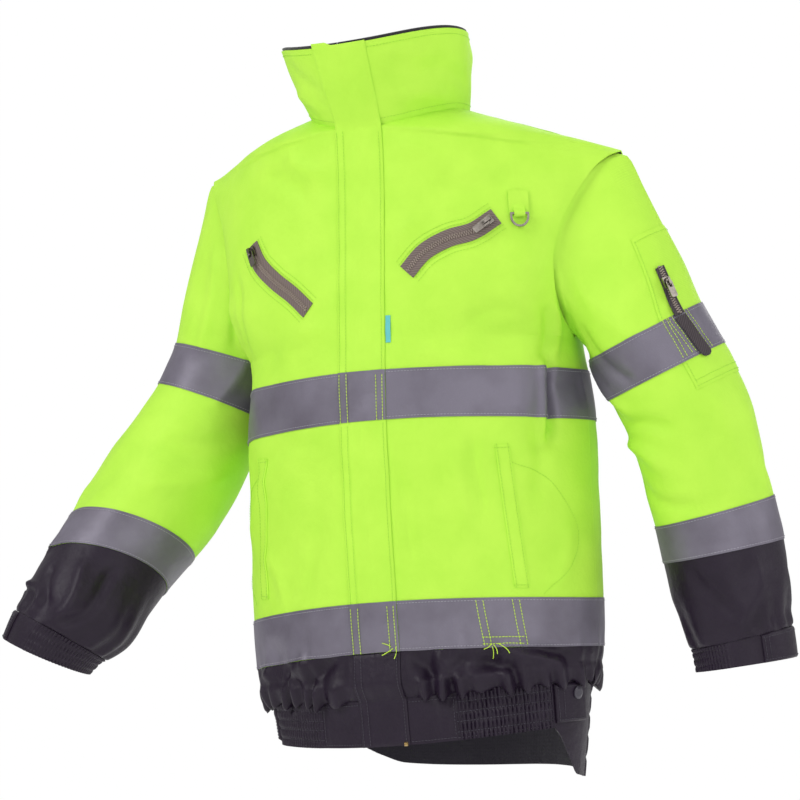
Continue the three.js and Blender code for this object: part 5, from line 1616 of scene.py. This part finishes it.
def make_sleeves():
    """Sleeves, forearms, arm tapes and cuffs of both arms."""
    pale, navy = [], []
    for word in ("left", "right"):
        cuff_top, cuff_foot = CUFF[word]
        low_tape, navy_seam = LOW_ARM_TAPE[word]
        last_run = navy_seam - GAP / 2
        first_runs = [RUN_HIDDEN, RUN_EDGE, RUN_OVER]
        runs = np.concatenate([first_runs, np.arange(12, last_run, SLEEVE_STEP), [last_run]])
        grid = ring_grid(word, runs)
        piece = shell(f"sleeve_{word}_cloth", grid, -THIN_CLOTH, 0, [NEON, LINING], ring=True)
        finish_piece(piece, "neon_cloth", f"sleeve_{word}", f"sleeve_lower_{word}")
        declare(grid, ring=True)
        grid = ring_grid(word, panel_levels(navy_seam + GAP / 2, cuff_top - GAP / 2, 2.2))
        piece = shell(f"forearm_{word}_cloth", grid, -THIN_CLOTH, 0, [NAVY, LINING], ring=True)
        finish_piece(piece, "navy_cloth", f"forearm_{word}")
        declare(grid, ring=True)
        for name, (top, foot) in (("upper", ARM_TAPE), ("lower", (low_tape, navy_seam - GAP / 2))):
            grid = ring_grid(word, panel_levels(top, foot, 2.5))
            base = np.full(grid["v"].shape, GAP)
            if name == "upper" and word == "left":
                place = grid["u"] * SLEEVE_COLUMNS / AROUND
                over = smoothstep(place, POCKET["first"] - 0.15, POCKET["first"] - 0.02)
                over = over * (1 - smoothstep(place, POCKET["last"] + 0.02, POCKET["last"] + 0.15))
                base = base + over * (POCKET["wall"] + GAP)
            piece = shell(f"tape_arm_{name}_{word}_cloth", grid, base, base + TAPE, [SILVER], ring=True)
            finish_piece(piece, "reflective_tape", f"tape_arm_{name}_{word}")
            declare(grid, ring=True)
            for run in (top + EDGE_IN, foot - EDGE_IN):
                k = int(round((run - top) / (foot - top) * (len(base) - 1)))
                p, n = SLEEVE[word].row(run, RING)
                pale.append((p + n * (base[k] + TAPE)[:, None], n))
        make_cuff(word, cuff_top, cuff_foot, navy)
    stitches("arm_tape_stitches", pale, PALE_THREAD, "reflective_tape", radius=0.3)
    stitches("cuff_stitches", navy, NAVY_THREAD, "navy_cloth", radius=0.3)


CUFF_RIB_START = -3.2
CUFF_RIB_SPAN = 8.6
CUFF_RIB_PITCH = 0.24
STRAP_WALL = 1.9
STRAP_TOP = 1.95


def make_cuff(word, top, foot, lines):
    """A cuff: elastic ribs on the side towards the body, and a plain strap over the rest."""
    fine = np.arange(420) * SLEEVE_COLUMNS / 420
    heights = panel_levels(top + GAP / 2, foot, 1.5)
    rows = [sleeve_ring(word, h, fine) for h in heights]
    points = np.array(rows)
    outward = points - points.mean(1)[:, None, :]
    closed = np.concatenate([points[:, -1:], points, points[:, :1]], axis=1)
    closed_outward = np.concatenate([outward[:, -1:], outward, outward[:, :1]], axis=1)
    normals = grid_normals(closed, closed_outward)[:, 1:-1]
    place = np.repeat(fine[None, :], len(heights), axis=0)
    run = np.repeat(heights[:, None], len(fine), axis=1)
    turned = (place - CUFF_RIB_START) % SLEEVE_COLUMNS
    channels = [top + (foot - top) * share for share in (0.2, 0.5, 0.8)]
    ridge = rib_height(turned, run, 0, CUFF_RIB_SPAN, CUFF_RIB_PITCH, channels, 1.4)
    ridge = np.where(turned < CUFF_RIB_SPAN, ridge, 0)
    grid = {"points": points, "normals": normals, "u": place * AROUND / SLEEVE_COLUMNS, "v": run}
    piece = shell(f"cuff_{word}_cloth", grid, -THIN_CLOTH, ridge, [NAVY, LINING], ring=True)
    finish_piece(piece, "navy_cloth", f"cuff_{word}")
    declare(grid, ring=True)
    first = CUFF_RIB_SPAN + CUFF_RIB_START + 1.9
    keep = np.flatnonzero((fine > first) & (fine < SLEEVE_COLUMNS + CUFF_RIB_START - 0.95))
    strap = {key: value[:, keep] for key, value in grid.items()}
    edge = soft_edge(strap, GAP, GAP + STRAP_WALL)
    piece = shell(f"cuff_tab_{word}_cloth", strap, GAP, edge, [NAVY])
    finish_piece(piece, "navy_cloth", f"cuff_tab_{word}")
    declare(strap)
    for row in (2, len(heights) - 3):
        p, n = strap["points"][row, 3:-3], strap["normals"][row, 3:-3]
        lines.append((p + n * (GAP + STRAP_TOP), n))
    for column in (4, 10):
        p, n = strap["points"][2:-2, column], strap["normals"][2:-2, column]
        lines.append((p + n * (GAP + STRAP_TOP), n))


def make_sleeve_pocket():
    """The pocket patch with its sewn outline, the zip down it and the garage at its foot."""
    cloth = SLEEVE["left"]
    patch_runs = panel_levels(POCKET["from"], POCKET["to"], 2.5)
    grid = ring_grid("left", patch_runs, np.linspace(POCKET["first"], POCKET["last"], 60))
    edge = soft_edge(grid, GAP, GAP + POCKET["wall"])
    piece = shell("sleeve_pocket_cloth", grid, GAP, edge, [NEON])
    finish_piece(piece, "neon_cloth", "sleeve_pocket")
    declare(grid)
    lines, doubled = [], []
    over = GAP + POCKET["wall"]
    across = np.linspace(POCKET["first"] + 0.15, POCKET["last"] - 0.15, 60)
    for run in (POCKET["from"] + 3, POCKET["to"] - 3, POCKET["to"] - 9):
        p, n = cloth.row(run, across)
        lines.append((p + n * over, n))
    for place in (POCKET["first"] + 0.15, POCKET["last"] - 0.15):
        for low, high in ((POCKET["from"] + 3, ARM_TAPE[0]), (ARM_TAPE[1], POCKET["to"] - 3)):
            column = np.arange(low, high, 2.5)
            p, n = cloth.spots(column, np.full(len(column), place))
            lines.append((p + n * over, n))
    tape_over = over + GAP + TAPE + 0.1
    column = np.arange(ARM_TAPE[0] + 1, ARM_TAPE[1] - 1, 2.0)
    centre = lambda run: SLEEVE_ZIP["column"] + SLEEVE_ZIP["slant"] * (run - SLEEVE_ZIP["top"])
    borders = [np.full(len(column), place) for place in (7.12, 7.34, 11.6, 11.88)]
    borders += [centre(column) + place for place in (-0.64, -0.42, 0.42, 0.64)]
    for border in borders:
        p, n = cloth.spots(column, border)
        doubled.append((p + n * tape_over, n))
    stitches("sleeve_pocket_stitches", lines, GREEN_THREAD, "neon_cloth", radius=0.32)
    stitches("sleeve_pocket_tape_stitches", doubled, NEON_THREAD, "neon_cloth", radius=0.42)
    strip_columns = lambda half: (lambda run: centre(run) + np.linspace(-half, half, 14))
    runs = panel_levels(SLEEVE_ZIP["top"], SLEEVE_ZIP["foot"], 2)
    grid = patch(cloth, runs, strip_columns(SLEEVE_ZIP["half"]))
    grid["u"] = grid["u"] * AROUND / SLEEVE_COLUMNS
    seat = zip_seat(grid["v"])
    piece = shell("sleeve_zip_cloth", grid, seat, seat + 1.2, [DARK_ZIP])
    finish_piece(piece, "zip_tape", "sleeve_zip")
    zip_teeth("sleeve_zip_teeth", *line_on(cloth, runs, centre, lambda run: zip_seat(run) + 1.2))
    runs = panel_levels(GARAGE["top"], GARAGE["foot"], 2)

    def rounding(run):
        past = max(0, (run - GARAGE["foot"] + 6) / 6.4)
        return GARAGE["half"] * math.sqrt(max(0.05, 1 - past**2))

    grid = patch(cloth, runs, lambda run: centre(run) + np.linspace(-1, 1, 20) * rounding(run))
    grid["u"] = grid["u"] * AROUND / SLEEVE_COLUMNS
    seat = zip_seat(grid["v"])
    dome = 1 - np.abs(np.linspace(-1, 1, 20)) ** 2.5
    height = seat + GARAGE["thick"] * (0.35 + 0.65 * dome)[None, :]
    piece = shell("sleeve_zip_garage_cloth", grid, seat, height, [DARK_ZIP])
    finish_piece(piece, "zip_tape", "sleeve_zip_garage")


def line_on(cloth, runs, place, height):
    """A line on a cloth by functions of the height: its place across and its height over the cloth."""
    points, normals = cloth.spots(runs, [place(run) for run in runs])
    return points + normals * np.array([float(height(run)) for run in runs])[:, None], normals


TOOTH = {"pitch": 2.5, "wide": 2.6, "long": 1.5, "high": 1.3, "offset": 1.1}


def zip_teeth(name, points, normals):
    """Two interlocked rows of moulded teeth along a line."""
    centre, normal = resample(points, normals, TOOTH["pitch"] / 2)
    way = tangents(centre)
    side = unit(np.cross(normal, way))
    spots = [
        (centre[k] + side[k] * TOOTH["offset"] * (1 if k % 2 else -1), side[k], way[k], normal[k])
        for k in range(len(centre) - 1)
    ]
    return blocks(name, spots, (TOOTH["wide"], TOOTH["long"], TOOTH["high"]), TEETH, "zip_tape")


# Chest pockets, hand pockets, label and ring

CHEST_ZIPS = {
    "right": [(-137, -126), (-124, -147), (-104, -165), (-82, -181), (-62, -199)],
    "left": [(137, -118), (116, -132), (92, -138), (68, -150), (50, -169)],
}
CHEST_ZIP = {"half": 9, "coil": 2.6, "thick": 1.2, "slider": 0.09}


def front_spots(xs, zs, side):
    """Places on a front, found from positions across and heights: their levels and distances."""
    levels, distances = [], []
    for x, z in zip(xs, zs):
        level, distance = float(z), abs(float(x))
        for _ in range(14):
            p = plain_points("front", side, level, np.array([distance]))[0]
            level += z - p[2]
            distance += side * (x - p[0])
        levels.append(level)
        distances.append(distance)
    return np.array(levels), np.array(distances)


def bend_through(points, count):
    """Points and directions of a smooth curve through some points in the front view."""
    p = np.array(points, float)
    ends = np.concatenate([[2 * p[0] - p[1]], p, [2 * p[-1] - p[-2]]])
    at = np.linspace(0, len(p) - 1, count)
    i = np.minimum(at.astype(int), len(p) - 2)
    t = (at - i)[:, None]
    a, b, c, d = ends[i], ends[i + 1], ends[i + 2], ends[i + 3]
    curve = 0.5 * (2 * b + (c - a) * t + (2 * a - 5 * b + 4 * c - d) * t**2 + (3 * b - a - 3 * c + d) * t**3)
    return curve, unit(np.gradient(curve, axis=0))


def make_chest_pockets():
    """Slanting zips with tape, teeth and sewn borders."""
    borders = []
    for word, side in (("left", 1), ("right", -1)):
        cloth = BODY["front", side]
        curve, way = bend_through(CHEST_ZIPS[word], 60)
        offsets = np.linspace(-CHEST_ZIP["half"], CHEST_ZIP["half"], 15)
        rows_p, rows_n = [], []
        for (x, z), (wx, wz) in zip(curve, way):
            levels, distances = front_spots(x - wz * offsets, z + wx * offsets, side)
            p, n = cloth.spots(levels, distances)
            rows_p.append(p)
            rows_n.append(n)
        run = np.concatenate([[0], np.cumsum(np.linalg.norm(np.diff(curve, axis=0), axis=1))])
        grid = {
            "points": np.array(rows_p),
            "normals": np.array(rows_n),
            "u": np.repeat(offsets[None, :], len(run), axis=0),
            "v": np.repeat(run[:, None], len(offsets), axis=1),
        }
        height = soft_edge(grid, SEAT, SEAT + CHEST_ZIP["thick"], 0.5)
        height = height + 0.3 * np.exp(-((np.abs(grid["u"]) - 4.2) ** 2))
        piece = shell(f"chest_zip_{word}_cloth", grid, SEAT - 0.2, height, [ZIP_TAPE])
        finish_piece(piece, "zip_tape", f"chest_zip_{word}")
        middle = grid["points"][:, 7] + grid["normals"][:, 7] * (SEAT + CHEST_ZIP["thick"])
        zip_teeth(f"chest_zip_{word}_teeth", middle[7:], grid["normals"][7:, 7])
        for column, out in ((0, -1), (14, 1)):
            p, n = grid["points"][:, column], grid["normals"][:, column]
            across = unit(grid["points"][:, 14] - grid["points"][:, 0]) * out
            for gap in (2.2, 6.5):
                borders.append((p + across * gap + n * 0.2, n))
    stitches("chest_pocket_stitches", borders, GREEN_THREAD, "neon_cloth", radius=0.3)


HAND_POCKET = {"top_x": 127, "top_z": -344, "foot_x": 138, "foot_z": -486, "wide": 12}
WELT_TOP = 1.5


def make_hand_pockets():
    """Slanting welts of the hand pockets, their bars and the bag's outline."""
    lines = []
    for word, side in (("left", 1), ("right", -1)):
        cloth = BODY["front", side]
        hp = HAND_POCKET
        t = np.linspace(0, 1, 50)
        rows_p, rows_n = [], []
        for s in t:
            x = hp["top_x"] + (hp["foot_x"] - hp["top_x"]) * s + np.linspace(0, hp["wide"], 9)
            z = np.full(9, hp["top_z"] + (hp["foot_z"] - hp["top_z"]) * s)
            levels, distances = front_spots(side * x, z, side)
            p, n = cloth.spots(levels, distances)
            rows_p.append(p)
            rows_n.append(n)
        tall = hp["top_z"] - hp["foot_z"]
        grid = {
            "points": np.array(rows_p),
            "normals": np.array(rows_n),
            "u": np.repeat(np.linspace(0, hp["wide"], 9)[None, :], 50, axis=0),
            "v": np.repeat(t[:, None] * tall, 9, axis=1),
        }
        height = soft_edge(grid, SEAT, SEAT + 1.1)
        piece = shell(f"hand_pocket_{word}_cloth", grid, SEAT - 0.4, height, [NEON])
        finish_piece(piece, "neon_cloth", f"hand_pocket_{word}")
        declare(grid)
        for column in (1, 7):
            p, n = grid["points"][:, column], grid["normals"][:, column]
            lines.append((p + n * WELT_TOP, n))
        for row in (1, 48):
            lines.append((grid["points"][row] + grid["normals"][row] * WELT_TOP, grid["normals"][row]))
        bag_x = hp["top_x"] + np.array([14, 40, 56, 52, 34])
        bag_z = hp["top_z"] + np.array([-18, -34, -80, -120, -148])
        curve, _ = bend_through(np.column_stack([bag_x, bag_z]), 50)
        levels, distances = front_spots(side * curve[:, 0], curve[:, 1], side)
        lines.append(body_line("front", side, levels, distances, 0.15))
    stitches("hand_pocket_stitches", lines, GREEN_THREAD, "neon_cloth", radius=0.32)


LABEL = {"x0": 27, "x1": 32, "top": -211, "foot": -238}


def make_label():
    """The small plain woven tab in the flap's seam."""
    zs = np.linspace(LABEL["foot"], LABEL["top"], 24)
    xs = np.linspace(LABEL["x0"], LABEL["x1"], 6)
    rows = [BODY["front", 1].spots(*front_spots(xs, np.full(6, z), 1)) for z in zs]
    grid = {
        "points": np.array([p for p, _ in rows]),
        "normals": np.array([n for _, n in rows]),
        "u": np.repeat(xs[None, :], 24, axis=0),
        "v": np.repeat(zs[:, None], 6, axis=1),
    }
    curl = SEAT + 0.9 + 0.5 * np.sin(grid["v"] * 0.3)
    piece = shell("side_label_cloth", grid, SEAT - 0.2, curl, [LABEL_CLOTH])
    finish_piece(piece, "woven_label", "side_label")


POCKET_BOX = {"left": 106, "right": 149, "foot": -541, "double": 7}


def make_tape_box():
    """Doubled neon stitching where the pocket bag is caught under the lower tape."""
    lines = []
    box = POCKET_BOX
    over = GAP + TAPE + 0.1
    column = np.arange(box["foot"], HEM_TAPE[1] - 1, 2.0)
    for first in (box["left"], box["right"] - box["double"]):
        for step in (0, box["double"]):
            lean = (HEM_TAPE[1] - column) * 0.12
            lines.append(body_line("front", 1, column, first + step + lean, over))
    for level in (box["foot"], box["foot"] + box["double"]):
        lines.append(level_line("front", 1, level, box["left"] + 5, box["right"] + 6, over))
    stitches("tape_box_stitches", lines, NEON_THREAD, "neon_cloth", radius=0.48)


def make_loose_threads():
    """Short cut thread ends at the feet of the doubled stitching."""
    ends = (
        ("front", 1, FLAP_HALF - 8, -540, -9, 4, 3.4),
        ("front", 1, FLAP_HALF - 3, -541, -2, -11, 3.2),
        ("front", 1, FLAP_HALF - 6, -542, -12, -6, 3.2),
        ("front", 1, 118, -541, -8, -5, 1.4),
        ("front", 1, 121, -542, 4, -9, 1.4),
        ("front", 1, 126, -541, 9, -10, 1.4),
        ("front", 1, 119, -543, 1, -12, 1.4),
    )
    points, faces, base = [], [], 0
    for face, side, u, v, du, dv, height in ends:
        t = np.linspace(0, 1, 8)
        p, n = BODY[face, side].spots(v + dv * t, u + du * t + 1.5 * np.sin(t * 3))
        line = p + n * (height + 1.2 * np.sin(t * 2.4))[:, None]
        tube_points, tube_faces = tube(line, 0.42)
        points.append(tube_points)
        faces.append(tube_faces + base)
        base += len(tube_points)
    piece = make_mesh("loose_threads", np.concatenate(points), np.concatenate(faces), [NEON_THREAD])
    finish_piece(piece, "neon_cloth")


def make_zip_end():
    """The brass end box of the front zip, just showing at the foot of the flap."""
    points, normals = BODY["front", 1].row(HEM + 1.5, np.array([FLAP_HALF - 4]))
    place = points[0] + normals[0] * (GAP + FLAP_WALL)
    spot = (place, np.array([1.0, 0, 0]), np.array([0, 0, 1.0]), normals[0])
    blocks("zip_end", [spot], (4.2, 4.2, 1.6), BRASS, "metal", 0.6)


def keep_metal():
    """Sliders, pulls, ring and snaps keep their solids, with worn edges and their own finish."""
    for name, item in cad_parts.items():
        if "slider" in name or "pull" in name or name in ("d_ring", "ring_tab") or "snap" in name:
            cloth_piece = name == "ring_tab"
            item.data.materials.clear()
            material = NEON if cloth_piece else SNAP if "snap" in name else METAL
            item.data.materials.append(material)
            bevel = item.modifiers.new("edges", "BEVEL")
            bevel.width = 0.25 * MM
            bevel.segments = 2
            bevel.limit_method = "ANGLE"


# Stage, lights and camera

VIEW = {"azimuth": 26, "elevation": -4, "roll": 2, "distance": 4.0, "width": 0.824}
VIEW_TARGET = Vector((-0.02667, 0.00919, -0.28530))
SENSOR = 36


def make_camera():
    """The camera at the photograph's angle."""
    a, e, r = (math.radians(VIEW[key]) for key in ("azimuth", "elevation", "roll"))
    back = Vector((math.sin(a) * math.cos(e), -math.cos(a) * math.cos(e), math.sin(e)))
    level = Vector((math.cos(a), math.sin(a), 0))
    upright = back.cross(level)
    right = level * math.cos(r) - upright * math.sin(r)
    up = upright * math.cos(r) + level * math.sin(r)
    camera = bpy.data.objects.new("camera", bpy.data.cameras.new("camera"))
    camera.data.sensor_width = SENSOR
    camera.data.lens = SENSOR * VIEW["distance"] / VIEW["width"]
    camera.data.clip_end = 100
    turn = Matrix((right, up, back)).transposed().to_4x4()
    camera.matrix_world = Matrix.Translation(VIEW_TARGET + back * VIEW["distance"]) @ turn
    bpy.context.scene.collection.objects.link(camera)
    bpy.context.scene.camera = camera


def plain_material(name, color, emission=0.0):
    """A plain material for the stage."""
    material, _, shader = start_material(name, color, 0.9, 0.1)
    shader.inputs["Emission Color"].default_value = (1, 1, 1, 1)
    shader.inputs["Emission Strength"].default_value = emission
    return material


FLOOR_DROP = 0.35
FLOOR_RADIUS = 4.5
STAGE_RADIUS = 13


def make_stage():
    """A pale floor under the jacket and a white dome round it that doesn't light it."""
    bpy.ops.mesh.primitive_circle_add(vertices=96, radius=FLOOR_RADIUS, fill_type="NGON")
    floor = bpy.context.object
    floor.name = "floor"
    floor.location.z = CAD_BOX[0].z - FLOOR_DROP
    floor.data.materials.append(plain_material("floor", (0.82, 0.82, 0.82), 0.15))
    bpy.ops.mesh.primitive_uv_sphere_add(segments=64, ring_count=32, radius=STAGE_RADIUS)
    dome = bpy.context.object
    dome.name = "dome"
    dome.data.materials.append(plain_material("dome", (0, 0, 0), 1.0))
    dome.visible_diffuse = False
    dome.visible_glossy = False
    dome.visible_shadow = False
    dome.visible_transmission = False


LIGHTS = table(
    "name place size energy",
    ("key", (-2.0, -3.2, 2.2), 2.0, 86),
    ("fill", (2.6, -3.2, 0.5), 3.0, 44),
    ("side", (3.2, 0.6, 0.9), 2.2, 30),
    ("back", (-0.8, 3.2, 1.6), 2.6, 52),
    ("top", (0.0, -0.4, 3.2), 2.4, 18),
)
WORLD_LIGHT = 0.47
AIM = Vector((0, 0, -0.3))


def make_lights():
    """Soft studio light from large areas all round."""
    for row in LIGHTS:
        data = bpy.data.lights.new(row["name"], "AREA")
        data.size = row["size"]
        data.energy = row["energy"]
        light = bpy.data.objects.new(row["name"], data)
        light.location = row["place"]
        light.rotation_euler = (AIM - Vector(row["place"])).to_track_quat("-Z", "Y").to_euler()
        bpy.context.scene.collection.objects.link(light)
    world = bpy.data.worlds.new("world")
    world.use_nodes = True
    world.node_tree.nodes["Background"].inputs["Color"].default_value = (1, 1, 1, 1)
    world.node_tree.nodes["Background"].inputs["Strength"].default_value = WORLD_LIGHT
    bpy.context.scene.world = world
    bpy.context.scene.view_settings.view_transform = "Standard"


make_camera()
make_fronts()
make_back()
make_lower_panels()
make_body_tapes()
make_waistband()
make_collar()
make_closure()
make_sleeves()
make_sleeve_pocket()
make_chest_pockets()
make_hand_pockets()
make_label()
make_tape_box()
make_loose_threads()
make_zip_end()
keep_metal()
make_stage()
make_lights()
